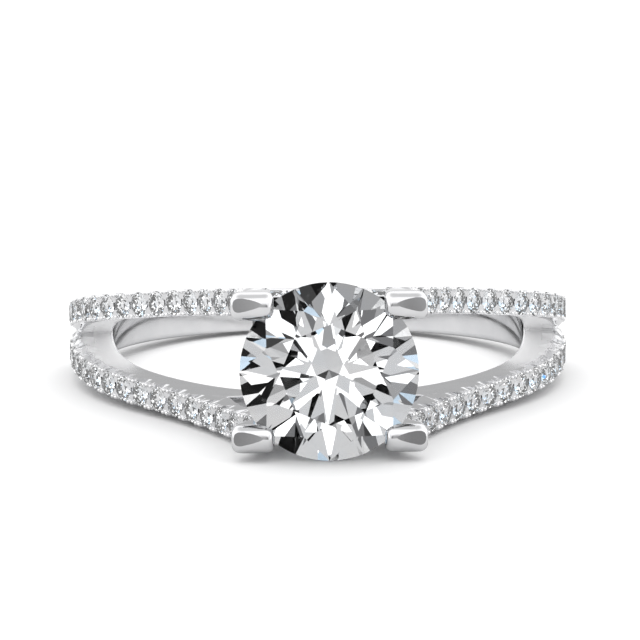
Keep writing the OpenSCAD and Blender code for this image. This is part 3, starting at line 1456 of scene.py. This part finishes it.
class Surface(Graph):
    """A material's node tree, with what the finishes share."""

    def __init__(self, name: str) -> None:
        """Makes the material and its Object coordinates.

        Args:
            name: The material's name.
        """
        self.material = bpy.data.materials.new(name)
        self.material.use_nodes = True
        super().__init__(self.material.node_tree)
        self.coordinates = self.add("ShaderNodeTexCoord").outputs["Object"]

    def noise(self, size: float, detail: float = 2.0, stretch: Sequence[float] = (1, 1, 1)) -> Field:
        """Noise over the surface.

        Args:
            size: Size of its features, in metres.
            detail: Its finer octaves.
            stretch: Scale of each axis; a small number draws the noise out.

        Returns:
            The noise, about 0 to 1.
        """
        inputs = {"Vector": self.coordinates, "Scale": stretch}
        mapped = self.add("ShaderNodeMapping", {"vector_type": "POINT"}, inputs).outputs[0]
        inputs = {"Vector": mapped, "Scale": 1 / size, "Detail": detail}
        return Field(self, self.add("ShaderNodeTexNoise", None, inputs).outputs[0])

    def finish_with(self, shader: bpy.types.Node) -> bpy.types.Material:
        """Sends a shader to the output."""
        self.add("ShaderNodeOutputMaterial", None, {"Surface": shader.outputs[0]})
        return self.material


@dataclass(frozen=True)
class Crotch:
    """The narrow space between the rows where the band splits; the metal there is painted paler and matte,
    painted light that lifts the shade of the crease.

    Each span is where it starts or ends softly, in millimetres.

    Attributes:
        beside: Its start, away from the middle.
        shoulder: Its end, towards the back of the band.
        inner: Its start, outwards from the finger.
        outer: Its end, short of the paved faces.
        level: Its end, away from the middle plane.
    """

    beside: Span = (6.9, 7.7)
    shoulder: Span = (-0.4, 0.4)
    inner: Span = (8.52, 8.64)
    outer: Span = (9.6, 9.85)
    level: Span = (0.85, 1.15)

    def share(self, surface: Surface) -> Field:
        """Where a metal surface lies in it.

        Args:
            surface: The metal's node tree.

        Returns:
            1 on the walls that face each other, 0 elsewhere.
        """
        place = surface.add("ShaderNodeSeparateXYZ", None, {0: surface.coordinates}).outputs
        x, y, z = (Field(surface, place[i]) * (1 / MM) for i in range(3))
        radius = (x * x + y * y).of("SQRT")
        level = (z + y * math.tan(LEAN)).of("ABSOLUTE")
        beside = x.of("ABSOLUTE").ramped(*self.beside) * (1.0 - y.ramped(*self.shoulder))
        depth = radius.ramped(*self.inner) * (1.0 - radius.ramped(*self.outer))
        return beside * depth * (1.0 - level.ramped(*self.level))


@dataclass(frozen=True)
class PolishedMetal:
    """White gold with a mirror polish, faint clouds and hairline polishing marks.

    Attributes:
        light: Colour of the metal.
        shade: Colour of its faint clouds.
        roughness: Roughness of the polish.
        spread: How much rougher the clouds are.
        cloud: Size of the clouds.
        clouded: Values of the noise between which they come in.
        hairline: Width of a polishing mark.
        drawn_out: Scale of each axis of the marks; the small one makes them long.
        relief: Height of the marks.
        strength: How far that height counts.
        painted_light_crotch: The space between the rows, paler and matte: painted light that lifts the
            shade of the crease.
        satin: How much rougher it is there.
        painted_light_matte: How much of the light it scatters there instead of mirroring it, as part of
            that painted light.
    """

    light: Colour = (0.90, 0.90, 0.905, 1)
    shade: Colour = (0.83, 0.835, 0.845, 1)
    roughness: float = 0.05
    spread: float = 0.06
    cloud: float = 1.1 * MM
    clouded: Span = (0.35, 0.7)
    hairline: float = 0.03 * MM
    drawn_out: tuple[float, float, float] = (1, 0.15, 1)
    relief: float = 0.0004 * MM
    strength: float = 0.25
    painted_light_crotch: Crotch = Crotch()
    satin: float = 0.38
    painted_light_matte: float = 0.75

    def material(self, name: str) -> bpy.types.Material:
        """Builds the material.

        Args:
            name: Its name.

        Returns:
            The material.
        """
        surface = Surface(name)
        clouds = surface.noise(self.cloud, 3).ramped(*self.clouded)
        marks = surface.noise(self.hairline, 2, self.drawn_out)
        relief = {"Strength": self.strength, "Distance": self.relief, "Height": marks}
        bump = surface.add("ShaderNodeBump", None, relief)
        # The crease between the rows is paler, rougher and less metallic: painted light that lifts its
        # shade
        painted_light_crotch = self.painted_light_crotch.share(surface)
        inputs = {
            "Base Color": surface.mixed(surface.mixed(self.light, self.shade, clouds), self.light, painted_light_crotch),
            "Roughness": self.roughness + clouds * self.spread + painted_light_crotch * self.satin,
            "Metallic": 1.0 - painted_light_crotch * self.painted_light_matte,
            "Normal": bump.outputs[0],
        }
        return surface.finish_with(surface.add("ShaderNodeBsdfPrincipled", None, inputs))


@dataclass(frozen=True)
class GemFinish:
    """Colourless diamond: clear, with a breath of blue in places.

    Attributes:
        clear: Colour of most of the stone; a grey below white is painted shade that dims the stone against
            the bright room it gathers.
        tint: Colour of its cooler zones.
        zone: Size of those zones.
        zoned: Values of the noise between which they come in.
        index: Refractive index.
        gloss: How much the outside mirrors the room.
        backed: Whether the marked faces mirror all light back into the stone.
        glow: Light added at each face, which lifts the darkest facets.
    """

    # The centre stone's grey is painted shade, which dims it against the bright room that it gathers
    clear: Colour = (0.77, 0.77, 0.77, 1)
    tint: Colour = (0.73, 0.75, 0.77, 1)
    zone: float = 2.0 * MM
    zoned: Span = (0.45, 0.6)
    index: float = 2.417
    gloss: float = 0.06
    backed: bool = False
    glow: float = 0.0

    def material(self, name: str) -> bpy.types.Material:
        """Builds the material.

        Args:
            name: Its name.

        Returns:
            The material.
        """
        surface = Surface(name)
        zones = surface.noise(self.zone, 1).ramped(*self.zoned)
        inputs = {
            "Base Color": surface.mixed(self.clear, self.tint, zones),
            "Roughness": 0.0,
            "IOR": self.index,
            "Specular Tint": (self.gloss, self.gloss, self.gloss, 1),
            "Transmission Weight": 1.0,
            "Emission Strength": self.glow,
        }
        glass = surface.add("ShaderNodeBsdfPrincipled", None, inputs)
        if not self.backed:
            return surface.finish_with(glass)
        mark = surface.add("ShaderNodeAttribute", {"attribute_name": UNDERSIDE}).outputs["Fac"]
        inputs = {"Base Color": self.clear, "Metallic": 1.0, "Roughness": 0.0}
        mirror = surface.add("ShaderNodeBsdfPrincipled", None, inputs)
        inputs = {0: mark, 1: glass.outputs[0], 2: mirror.outputs[0]}
        return surface.finish_with(surface.add("ShaderNodeMixShader", None, inputs))


@dataclass(frozen=True)
class TableFinish:
    """Matte white table top.

    Attributes:
        light: Its colour.
        shade: Colour of its faint clouds.
        mirrored: The grey that it shows in the polished metal instead of its white: a painted reflection.
        cloud: Size of the clouds.
        roughness: Its roughness.
        specular: How much it mirrors.
    """

    light: Colour = (0.96, 0.96, 0.96, 1)
    shade: Colour = (0.94, 0.94, 0.945, 1)
    mirrored: Colour = (0.62, 0.62, 0.625, 1)
    cloud: float = 20 * MM
    roughness: float = 0.9
    specular: float = 0.1

    def material(self, name: str) -> bpy.types.Material:
        """Builds the material.

        Args:
            name: Its name.

        Returns:
            The material.
        """
        surface = Surface(name)
        clouds = surface.noise(self.cloud, 2)
        # In the polished metal the table shows grey, not white: a painted reflection
        glossy = surface.add("ShaderNodeLightPath").outputs["Is Glossy Ray"]
        seen = surface.mixed(surface.mixed(self.light, self.shade, clouds), self.mirrored, glossy)
        inputs = {"Base Color": seen, "Roughness": self.roughness, "Specular IOR Level": self.specular}
        return surface.finish_with(surface.add("ShaderNodeBsdfPrincipled", None, inputs))


# The beads are a paler copy of the metal, painted light that brightens them; the small stones are clearer
# than the centre stone, glow a little as painted light, and have mirrors under them
PAINTED_LIGHT_BEAD_FINISH = PolishedMetal(light=(0.99, 0.99, 0.99, 1), shade=(0.95, 0.95, 0.955, 1))
SMALL_GEM_FINISH = GemFinish(
    clear=(1.0, 1.0, 1.0, 1), tint=(0.95, 0.98, 1.0, 1), zone=0.5 * MM, backed=True, glow=0.055
)


class Scatter:
    """A geometry node tree that sets one shape on every spot of a row."""

    def __init__(self) -> None:
        """Builds the tree with its named inputs."""
        self.tree = bpy.data.node_groups.new("set_on_spots", "GeometryNodeTree")
        graph = Graph(self.tree)
        sockets = {
            "Spots": "NodeSocketGeometry", "Shape": "NodeSocketObject", "Size": "NodeSocketFloat",
            "Turn": "NodeSocketFloat", "Seed": "NodeSocketInt", "Finish": "NodeSocketMaterial",
        }
        face = self.tree.interface
        self.ids = {}
        for name, kind in sockets.items():
            self.ids[name] = face.new_socket(name, in_out="INPUT", socket_type=kind).identifier
        face.new_socket("Mesh", in_out="OUTPUT", socket_type="NodeSocketGeometry")
        given = graph.add("NodeGroupInput").outputs
        named = {"data_type": "FLOAT_VECTOR"}
        outward = graph.add("GeometryNodeInputNamedAttribute", named, {"Name": "outward"}).outputs[0]
        along = graph.add("GeometryNodeInputNamedAttribute", named, {"Name": "along"}).outputs[0]
        axes = {"primary_axis": "Z", "secondary_axis": "X"}
        facing = graph.add("FunctionNodeAxesToRotation", axes, {0: outward, 1: along}).outputs[0]
        turn = given["Turn"]
        least = graph.add("ShaderNodeMath", {"operation": "MULTIPLY"}, {0: turn, 1: -1.0}).outputs[0]
        limits = {2: least, 3: turn, "Seed": given["Seed"]}
        drawn = graph.add("FunctionNodeRandomValue", {"data_type": "FLOAT"}, limits).outputs[1]
        about = {"Axis": (0, 0, 1), "Angle": drawn}
        spin = graph.add("FunctionNodeAxisAngleToRotation", None, about).outputs[0]
        own = {"rotation_space": "LOCAL"}
        turned = graph.add("FunctionNodeRotateRotation", own, {0: facing, 1: spin}).outputs[0]
        shape = graph.add("GeometryNodeObjectInfo", None, {"Object": given["Shape"]}).outputs["Geometry"]
        inputs = {"Points": given["Spots"], "Instance": shape, "Rotation": turned, "Scale": given["Size"]}
        placed = graph.add("GeometryNodeInstanceOnPoints", None, inputs).outputs[0]
        real = graph.add("GeometryNodeRealizeInstances", None, {0: placed}).outputs[0]
        inputs = {"Geometry": real, "Material": given["Finish"]}
        dressed = graph.add("GeometryNodeSetMaterial", None, inputs).outputs[0]
        graph.add("NodeGroupOutput", None, {0: dressed})

    def spots_object(self, name: str, spots: Sequence[Spot]) -> bpy.types.Object:
        """An object with one corner for each spot, which holds its directions.

        Args:
            name: Its name.
            spots: The spots.

        Returns:
            The object.
        """
        mesh = bpy.data.meshes.new(name)
        mesh.from_pydata([s.place.tolist() for s in spots], [], [])
        for key in ("outward", "along"):
            values = np.array([getattr(s, key) for s in spots], np.float32).ravel()
            mesh.attributes.new(key, "FLOAT_VECTOR", "POINT").data.foreach_set("vector", values)
        made = bpy.data.objects.new(name, mesh)
        bpy.context.scene.collection.objects.link(made)
        return made

    def run(
        self,
        name: str,
        spots: Sequence[Spot],
        shape: bpy.types.Object,
        finish: bpy.types.Material | None = None,
        turn: float = 0.0,
        seed: int = 1,
    ) -> bpy.types.Object:
        """Sets a shape on every spot, as a plain mesh.

        Args:
            name: Name of the object that is made.
            spots: Where the shapes go.
            shape: What is set there; its Z points out of the face.
            finish: Its material.
            turn: Most that a shape is turned about its axis, either way, in radians.
            seed: Seed of those turns.

        Returns:
            The object with all copies in one mesh.
        """
        holder = self.spots_object(name, spots)
        modifier = holder.modifiers.new("set", "NODES")
        modifier.node_group = self.tree
        values = {"Shape": shape, "Size": 1.0, "Turn": turn, "Seed": seed, "Finish": finish}
        for key, value in values.items():
            if value is not None:
                modifier[self.ids[key]] = value
        return evaluated(holder)


def evaluated(made: bpy.types.Object) -> bpy.types.Object:
    """Replaces an object's mesh by the result of its modifiers, and removes them.

    Args:
        made: The object.

    Returns:
        The same object.
    """
    bpy.context.view_layer.update()
    graph = bpy.context.evaluated_depsgraph_get()
    mesh = bpy.data.meshes.new_from_object(made.evaluated_get(graph), depsgraph=graph)
    made.modifiers.clear()
    made.data = mesh
    return made


def combine(base: bpy.types.Object, others: Sequence[bpy.types.Object], how: Join) -> bpy.types.Object:
    """Joins other solids to a solid or cuts them from it.

    Args:
        base: The solid that changes.
        others: The solids that are joined or cut, which are removed afterwards.
        how: Whether they are joined or cut.

    Returns:
        The solid, with a plain mesh.
    """
    for other in others:
        step = base.modifiers.new("step", "BOOLEAN")
        step.operation = how.value
        step.solver = "MANIFOLD"
        step.material_mode = "TRANSFER"
        step.object = other
    evaluated(base)
    for other in others:
        bpy.data.objects.remove(other)
    return base


class Workshop:
    """Lays finished meshes down into the frame and hands them to it."""

    def __init__(self, lean: float) -> None:
        """Keeps the turn from the upright ring to the lying one.

        Args:
            lean: How far the finger's axis leans off the vertical, in radians.
        """
        self.laying = Matrix.Scale(MM, 4) @ Matrix.Rotation(-lean, 4, "X")

    def sharpen(self, mesh: bpy.types.Mesh) -> None:
        """Keeps the outlines of cuts and filed flats sharp, where faces of two tags meet.

        Args:
            mesh: The mesh, whose materials are still the tags.
        """
        tags = np.zeros(len(mesh.polygons), int)
        mesh.polygons.foreach_get("material_index", tags)
        first = np.full(len(mesh.edges), -1)
        for face, tag in zip(mesh.polygons, tags):
            for loop in face.loop_indices:
                edge = mesh.loops[loop].edge_index
                if first[edge] < 0:
                    first[edge] = tag
                elif first[edge] != tag:
                    mesh.edges[edge].use_edge_sharp = True

    def deliver(
        self,
        piece: bpy.types.Object,
        name: str,
        finish: bpy.types.Material,
        slot: Slot,
        nodes: Sequence[str] = (),
        crease: float | None = None,
    ) -> bpy.types.Object:
        """Lays a piece down, dresses it and lets it ride on the ring.

        Args:
            piece: The piece, upright and in millimetres.
            name: Its name.
            finish: Its material.
            slot: The record's slot that it stands for; not used.
            nodes: The CAD nodes that it stands for.
            crease: Angle in degrees past which its edges stay sharp; flat facets without it.

        Returns:
            The finished piece.
        """
        mesh = piece.data
        mesh.transform(self.laying)
        piece.name = mesh.name = name
        for key in ("outward", "along"):
            if key in mesh.attributes:
                mesh.attributes.remove(mesh.attributes[key])
        if crease is None:
            mesh.shade_flat()
        else:
            mesh.shade_smooth()
            mesh.set_sharp_from_angle(angle=math.radians(crease))
            self.sharpen(mesh)
        mesh.materials.clear()
        mesh.materials.append(finish)
        mesh.polygons.foreach_set("material_index", [0] * len(mesh.polygons))
        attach(piece, BODY)
        if nodes:
            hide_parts(*nodes)
        LOG.info("%s: %d faces", name, len(mesh.polygons))
        return piece


@dataclass
class Mount:
    """All the soldered metal: band, branches, rails, basket and claws.

    Attributes:
        row: The rows' route.
        paving: The paved faces.
        scatter: What sets the cutters on their spots.
        stone_r: Radius of the centre stone.
        girdle_y: Distance of its girdle from the finger's axis.
        cut: Its proportions.
        gap: Gap between it and the metal.
        room_sides: Sides of the outline that is cut out for it.
        upper_lean: Lean of the upper row's outer side near the head.
        upper_fades: Angles between which that lean fades away.
    """

    row: Row
    paving: Paving
    scatter: Scatter
    stone_r: float
    girdle_y: float
    cut: BrilliantCut
    gap: float = 0.03
    room_sides: int = 96
    upper_lean: float = 0.095
    upper_fades: Span = (28.0, 62.0)
    claw: Claw = field(init=False)
    basket: Basket = field(init=False)

    def __post_init__(self) -> None:
        """Makes the parts that need the row."""
        self.claw = Claw(self.row)
        self.basket = Basket(self.row, self.claw, self.paving)

    def centre_stone(self) -> Solid:
        """The brilliant in its place, with its table towards the head.

        Returns:
            The stone, with one face for each facet.
        """
        stone = self.cut.solid(2 * self.stone_r)
        x, y, z = stone.points.T
        stone.points = np.c_[x, -self.girdle_y - z, y]
        return stone

    def stone_room(self) -> Solid:
        """The brilliant's outline, turned about its axis, with a small gap around it.

        Returns:
            The room that is cut out for it.
        """
        cut, r, gap = self.cut, self.stone_r, self.gap
        g = cut.girdle * r
        crown, pavilion = r * (1 - cut.table) * tangent(cut.crown), r * tangent(cut.pavilion)
        table = r * cut.table + gap
        # Radius, and height over the girdle
        profile = [
            (0.02, -g - pavilion - 1.5 * gap), (r + gap, -g - 0.6 * gap), (r + gap, g + 0.6 * gap),
            (table, g + crown + gap), (table, g + crown + 1.0),
        ]
        turn = np.linspace(0, 2 * math.pi, self.room_sides, endpoint=False)
        rings = []
        for radius, height in profile:
            level = np.full(len(turn), -self.girdle_y - height)
            rings.append(np.c_[radius * np.cos(turn), level, radius * np.sin(turn)])
        return Solid.loft(rings)

    def every_spot(self, spots: Sequence[Spot]) -> list[Spot]:
        """The spots of the upper right row, on all four rows."""
        return [s.mirrored(side, level) for level in Level for side in Side for s in spots]

    def bridge_spots(self, level: Level) -> list[Spot]:
        """The stones' places on one bridge."""
        return [s.mirrored(Side.RIGHT, level) for s in self.basket.spots()]

    def copied(self, tip: bpy.types.Object, side: Side, level: Level) -> bpy.types.Object:
        """Copies a claw that is made at the upper right.

        Args:
            tip: The claw.
            side: The copy's side.
            level: The copy's row.

        Returns:
            The copy.
        """
        copy = bpy.data.objects.new("tip", tip.data.copy())
        bpy.context.scene.collection.objects.link(copy)
        copy.data.transform(Matrix.Diagonal((side.value, 1, level.value, 1)))
        if side.value * level.value < 0:
            copy.data.flip_normals()
        return copy

    def body(self) -> bpy.types.Object:
        """Joins all the metal.

        Returns:
            The mount, with nothing cut yet.
        """
        row, basket = self.row, self.basket
        upper_row = replace(row, lean_outside=self.upper_lean, lean_fades=self.upper_fades)
        solids = []
        for level, route in ((Level.UPPER, upper_row), (Level.LOWER, row)):
            branch = Branch(route, self.paving)
            for side in Side:
                solids += [branch.body().mirrored(side, level), branch.arm().mirrored(side, level)]
            solids.append(Rail(route).body().mirrored(Side.RIGHT, level))
            solids.append(basket.bridge().mirrored(Side.RIGHT, level))
        solids += [basket.side_bar().mirrored(side, Level.UPPER) for side in Side]
        metal = BackBand(row).body().object("metal")
        combine(metal, [s.object("part") for s in solids], Join.UNION)
        for level in Level:
            claw, flat = self.claw.body().object("claw"), self.claw.flat(level).object("flat", "flat")
            tip = combine(claw, [flat], Join.DIFFERENCE)
            combine(metal, [self.copied(tip, side, level) for side in Side], Join.UNION)
            bpy.data.objects.remove(tip)
        return metal

    def cutters(self) -> list[bpy.types.Object]:
        """What is cut out: the stone's room, the small stones' seats, grooves and bright cuts.

        Returns:
            One object for each kind of cut, with its own tag.
        """
        paving = self.paving
        spots = paving.spots(self.row)
        gaps = paving.between(spots)
        stones = self.every_spot(spots) + self.bridge_spots(Level.UPPER) + self.bridge_spots(Level.LOWER)
        shapes = [
            ("seats", stones, paving.seat()), ("grooves", self.every_spot(gaps), paving.between_cutter()),
        ]
        for edge in (1, -1):
            hollow = paving.leaning_rod(edge, paving.cut_r, paving.cut_depth, paving.cut_length)
            split = paving.leaning_rod(edge, paving.split_r, paving.split_depth, paving.split_length)
            shapes.append((f"hollows_{edge}", paving.rod_spots(spots, edge), hollow))
            shapes.append((f"splits_{edge}", paving.rod_spots(gaps, edge), split))
        made = [self.stone_room().object("room", "room")]
        for name, places, solid in shapes:
            shape = solid.object(name + "_shape")
            made.append(self.scatter.run(name, places, shape, tag_material(name)))
            bpy.data.objects.remove(shape)
        return made

    def build(self) -> bpy.types.Object:
        """Joins the metal and cuts its seats and hollows."""
        return combine(self.body(), self.cutters(), Join.DIFFERENCE)


@dataclass
class PavedRows:
    """The small stones and beads of the four rows and the two bridges.

    Attributes:
        mount: The metal that carries them.
        scatter: What sets them on their spots.
        workshop: What lays them down.
        metal: The beads' finish.
        gem: The stones' finish.
        cut: The small stones' proportions, with larger facets than the centre stone's.
        seated: Upward part of a face's direction under which the face lies in the seat.
        turn: Most that a stone is turned in its seat, either way, in radians.
    """

    mount: Mount
    scatter: Scatter
    workshop: Workshop
    metal: bpy.types.Material
    gem: bpy.types.Material
    cut: BrilliantCut = BrilliantCut(table=0.62, star=0.35, lower=0.45, arcs=2)
    seated: float = 0.3
    turn: float = 0.4

    def marked(self, shape: bpy.types.Object) -> bpy.types.Object:
        """Marks the faces of a small stone that lie in its seat: underside and girdle.

        Args:
            shape: The stone, with its table up.

        Returns:
            The same stone.
        """
        marks = [1.0 if face.normal.z < self.seated else 0.0 for face in shape.data.polygons]
        shape.data.attributes.new(UNDERSIDE, "FLOAT", "FACE").data.foreach_set("value", marks)
        return shape

    def build(self) -> None:
        """Makes the stones and the beads of every row, as a piece each."""
        paving = self.mount.paving
        stone = self.cut.solid(paving.stone_d)
        stone.points[:, 2] -= stone.points[:, 2].max()
        shape, bead = self.marked(stone.object("small_stone")), paving.bead().object("bead")
        right = paving.spots(self.mount.row)
        faces = {}
        for level in Level:
            for side in Side:
                spots = [s.mirrored(side, level) for s in right]
                faces[f"{level.name.lower()}_{side.name.lower()}"] = spots
            faces[f"bridge_{level.name.lower()}"] = self.mount.bridge_spots(level)
        for seed, (name, spots) in enumerate(faces.items(), 1):
            stones = self.scatter.run("stones", spots, shape, self.gem, turn=self.turn, seed=seed)
            self.workshop.deliver(stones, f"stones_{name}", self.gem, Slot.PAVE, [f"pave_{name}"])
            beads = self.scatter.run("beads", paving.bead_spots(spots), bead, self.metal)
            self.workshop.deliver(beads, f"beads_{name}", self.metal, Slot.METAL, crease=BEAD_CREASE)
        bpy.data.objects.remove(shape)
        bpy.data.objects.remove(bead)


@dataclass(frozen=True)
class View:
    """The camera of the main view, around the upright ring.

    Attributes:
        azimuth: Degrees round the finger's axis, from the front.
        elevation: Degrees above the ring's own plane.
        distance: Distance from the ring's centre, in millimetres.
        pixels: Focal length in pixels of the image.
        centre: Where the ring's centre shows, in pixels.
        roll: Turn of the camera about its own axis, in degrees.
    """

    azimuth: float = -1.534
    elevation: float = 5.94
    distance: float = 100.58
    pixels: float = 2423.9
    centre: Span = (317.81, 328.2)
    roll: float = -0.315

    def build(self, laying: Matrix) -> bpy.types.Object:
        """Makes the camera.

        Args:
            laying: The turn and scale from the upright ring to the frame.

        Returns:
            The camera, set as the scene's own.
        """
        a, e = self.azimuth, self.elevation
        back = Vector((sine(a) * cosine(e), -cosine(a) * cosine(e), sine(e)))
        right = Vector((0, 0, 1)).cross(back).normalized()
        up = back.cross(right)
        c, s = cosine(self.roll), sine(self.roll)
        right, up = right * c + up * s, up * c - right * s
        turn = Matrix((right, up, back)).transposed().to_4x4()
        data = bpy.data.cameras.new("camera")
        data.sensor_width = 36
        data.lens = self.pixels * data.sensor_width / IMAGE_SIDE
        data.shift_x = (IMAGE_SIDE / 2 - self.centre[0]) / IMAGE_SIDE
        data.shift_y = (self.centre[1] - IMAGE_SIDE / 2) / IMAGE_SIDE
        data.clip_start, data.clip_end = 0.005, 20
        camera = bpy.data.objects.new("camera", data)
        bpy.context.scene.collection.objects.link(camera)
        lean = laying.to_3x3().normalized().to_4x4()
        camera.matrix_world = Matrix.Translation(laying @ (back * self.distance)) @ lean @ turn
        bpy.context.scene.camera = camera
        return camera


@dataclass(frozen=True)
class Mirrored:
    """What polished metal mirrors: grey walls, a bright ceiling and a bright panel on each side.

    A span holds the parts of a direction, 0 to 1, between which something comes in.

    Attributes:
        wall: Grey of the walls.
        front: Span of the paler wall in front, behind the camera.
        paler: How much paler it is.
        ahead: Span of the dark patch in its middle.
        darker: How much darker that is.
        aside: Span from the patch's middle to its sides.
        darker_aside: How much darker its sides are.
        ceiling: Span of the ceiling, upwards.
        zenith: Span of the dim patch in its middle.
        dimmed: How much of its light that loses.
        panel: Span of the panels, sideways.
        panel_top: Span over which they end, upwards.
        lamp: Light of the ceiling and the panels.
        blue: Blue of it all, for each part of red or green.
    """

    wall: float = 0.47
    front: Span = (0.35, 0.7)
    paler: float = 0.33
    ahead: Span = (0.88, 0.94)
    darker: float = 0.37
    aside: Span = (0.03, 0.22)
    darker_aside: float = 0.21
    ceiling: Span = (0.24, 0.56)
    zenith: Span = (0.9, 0.98)
    dimmed: float = 0.7
    panel: Span = (0.6, 0.72)
    panel_top: Span = (0.85, 0.95)
    lamp: float = 1.2
    blue: float = 1.01

    def colour(self, graph: Graph, x: Field, y: Field, z: Field) -> bpy.types.NodeSocket:
        """Adds its colour to the world.

        Args:
            graph: The world's node tree.
            x: Part of the direction to the right.
            y: Part of it away from the camera.
            z: Part of it upwards.

        Returns:
            The colour in that direction.
        """
        wide, near = x.of("ABSOLUTE"), 0.0 - y
        front, ahead = near.ramped(*self.front), near.ramped(*self.ahead)
        aside = wide.ramped(*self.aside)
        ceiling = z.ramped(*self.ceiling) * (1.0 - z.ramped(*self.zenith) * self.dimmed)
        panels = wide.ramped(*self.panel) * (1.0 - z.ramped(*self.panel_top))
        lit = ceiling.of("MAXIMUM", panels)
        grey = self.wall + front * self.paler - ahead * (self.darker + self.darker_aside * aside)
        level = grey + lit * (self.lamp - grey)
        inputs = {0: level, 1: level, 2: level * self.blue}
        return graph.add("ShaderNodeCombineColor", None, inputs).outputs[0]


@dataclass(frozen=True)
class Gathered:
    """What the stones gather: a pattern of lamps and flags of one plain tone each.

    Attributes:
        seed: Chooses the pattern.
        cells: Its fineness.
        tones: Share of the pattern at which each tone starts, and its red, green and blue.
    """

    seed: float = 73.16
    cells: float = 2.31
    tones: tuple = (
        (0.0, (0.0, 0.0, 0.0)), (0.11, (0.06, 0.06, 0.06)), (0.17, (0.23, 0.23, 0.235)),
        (0.25, (0.47, 0.47, 0.475)), (0.34, (0.8, 0.98, 1.15)), (0.5, (1.1, 1.1, 1.1)),
        (0.63, (1.35, 1.35, 1.35)), (0.71, (1.75, 1.75, 1.75)), (0.79, (2.5, 2.5, 2.5)),
        (0.905, (0.98, 1.2, 1.42)), (0.96, (0.13, 0.5, 1.5)),
    )

    def colour(self, graph: Graph, direction: bpy.types.NodeSocket) -> bpy.types.NodeSocket:
        """Adds its colour to the world.

        Args:
            graph: The world's node tree.
            direction: The direction that is looked in.

        Returns:
            The colour in that direction.
        """
        settings = {"voronoi_dimensions": "4D", "feature": "F1"}
        inputs = {"Vector": direction, "W": self.seed, "Scale": self.cells}
        cells = graph.add("ShaderNodeTexVoronoi", settings, inputs)
        share = graph.add("ShaderNodeSeparateColor", None, {0: cells.outputs["Color"]}).outputs[0]
        tones = graph.add("ShaderNodeValToRGB", {"stops": self.tones}, {0: share})
        tones.color_ramp.interpolation = "CONSTANT"
        return tones.outputs[0]


@dataclass(frozen=True)
class Studio:
    """The plain white table and the light of the room.

    Attributes:
        floor_side: Side of the table, in metres.
        brightness: Light of the room on matte things.
        horizon: Share of it that comes from the horizon and from below.
        zenith: How much larger that share is straight above.
    """

    floor_side: float = 4.0
    brightness: float = 1.32
    horizon: float = 0.3
    zenith: float = 1.05

    def floor(self, height: float) -> None:
        """Makes the table top.

        Args:
            height: The height on which the ring lies, in metres.
        """
        mesh = bpy.data.meshes.new("table_top")
        s = self.floor_side / 2
        corners = [(-s, -s, height), (s, -s, height), (s, s, height), (-s, s, height)]
        mesh.from_pydata(corners, [], [(0, 1, 2, 3)])
        made = bpy.data.objects.new("table_top", mesh)
        bpy.context.scene.collection.objects.link(made)
        mesh.materials.append(TableFinish().material("matte_white"))

    def room(self) -> None:
        """Makes the light: soft for matte things, and other rooms for polished metal and stones."""
        world = bpy.data.worlds.new("room")
        bpy.context.scene.world = world
        world.use_nodes = True
        graph = Graph(world.node_tree)
        direction = graph.add("ShaderNodeTexCoord").outputs["Generated"]
        split = graph.add("ShaderNodeSeparateXYZ", None, {0: direction})
        x, y, z = (Field(graph, split.outputs[i]) for i in range(3))
        ray = graph.add("ShaderNodeLightPath").outputs
        soft = self.brightness * (self.horizon + z.ramped(0.0, 1.0) * self.zenith)
        room = graph.add("ShaderNodeCombineColor", None, {0: soft, 1: soft, 2: soft}).outputs[0]
        mirrored = Mirrored().colour(graph, x, y, z)
        gathered = Gathered().colour(graph, direction)
        seen = graph.mixed(room, mirrored, ray["Is Glossy Ray"])
        seen = graph.mixed(seen, gathered, ray["Is Transmission Ray"])
        background = graph.add("ShaderNodeBackground", None, {"Color": seen, "Strength": 1.0})
        graph.add("ShaderNodeOutputWorld", None, {"Surface": background.outputs[0]})


def main() -> None:
    """Builds the ring and its surroundings."""
    logging.basicConfig(level=logging.INFO, format="%(name)s: %(message)s")
    workshop = Workshop(LEAN)
    row = Row(finger_r=HOLE["dims"]["r_mm"])
    low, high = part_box("centre_stone")
    stone_r = (high.x - low.x) / 2 / MM
    metal = PolishedMetal().material("white_gold")
    gem = GemFinish().material("diamond")
    small_gem = SMALL_GEM_FINISH.material("small_diamond")
    beads = PAINTED_LIGHT_BEAD_FINISH.material("bright_beads")
    scatter = Scatter()
    mount = Mount(row, Paving(), scatter, stone_r, row.finger_r + GIRDLE_UP, BrilliantCut())
    workshop.deliver(mount.build(), "polished_mount", metal, Slot.METAL, ["ring_mount"], MOUNT_CREASE)
    stone = mount.centre_stone().object("brilliant")
    workshop.deliver(stone, "brilliant", gem, Slot.STONE, ["centre_stone"])
    PavedRows(mount, scatter, workshop, beads, small_gem).build()
    studio = Studio()
    studio.floor(CAD_BOX[0].z)
    studio.room()
    View().build(workshop.laying)
    bpy.context.scene.view_settings.view_transform = "Standard"


if __name__ == "__main__":
    main()
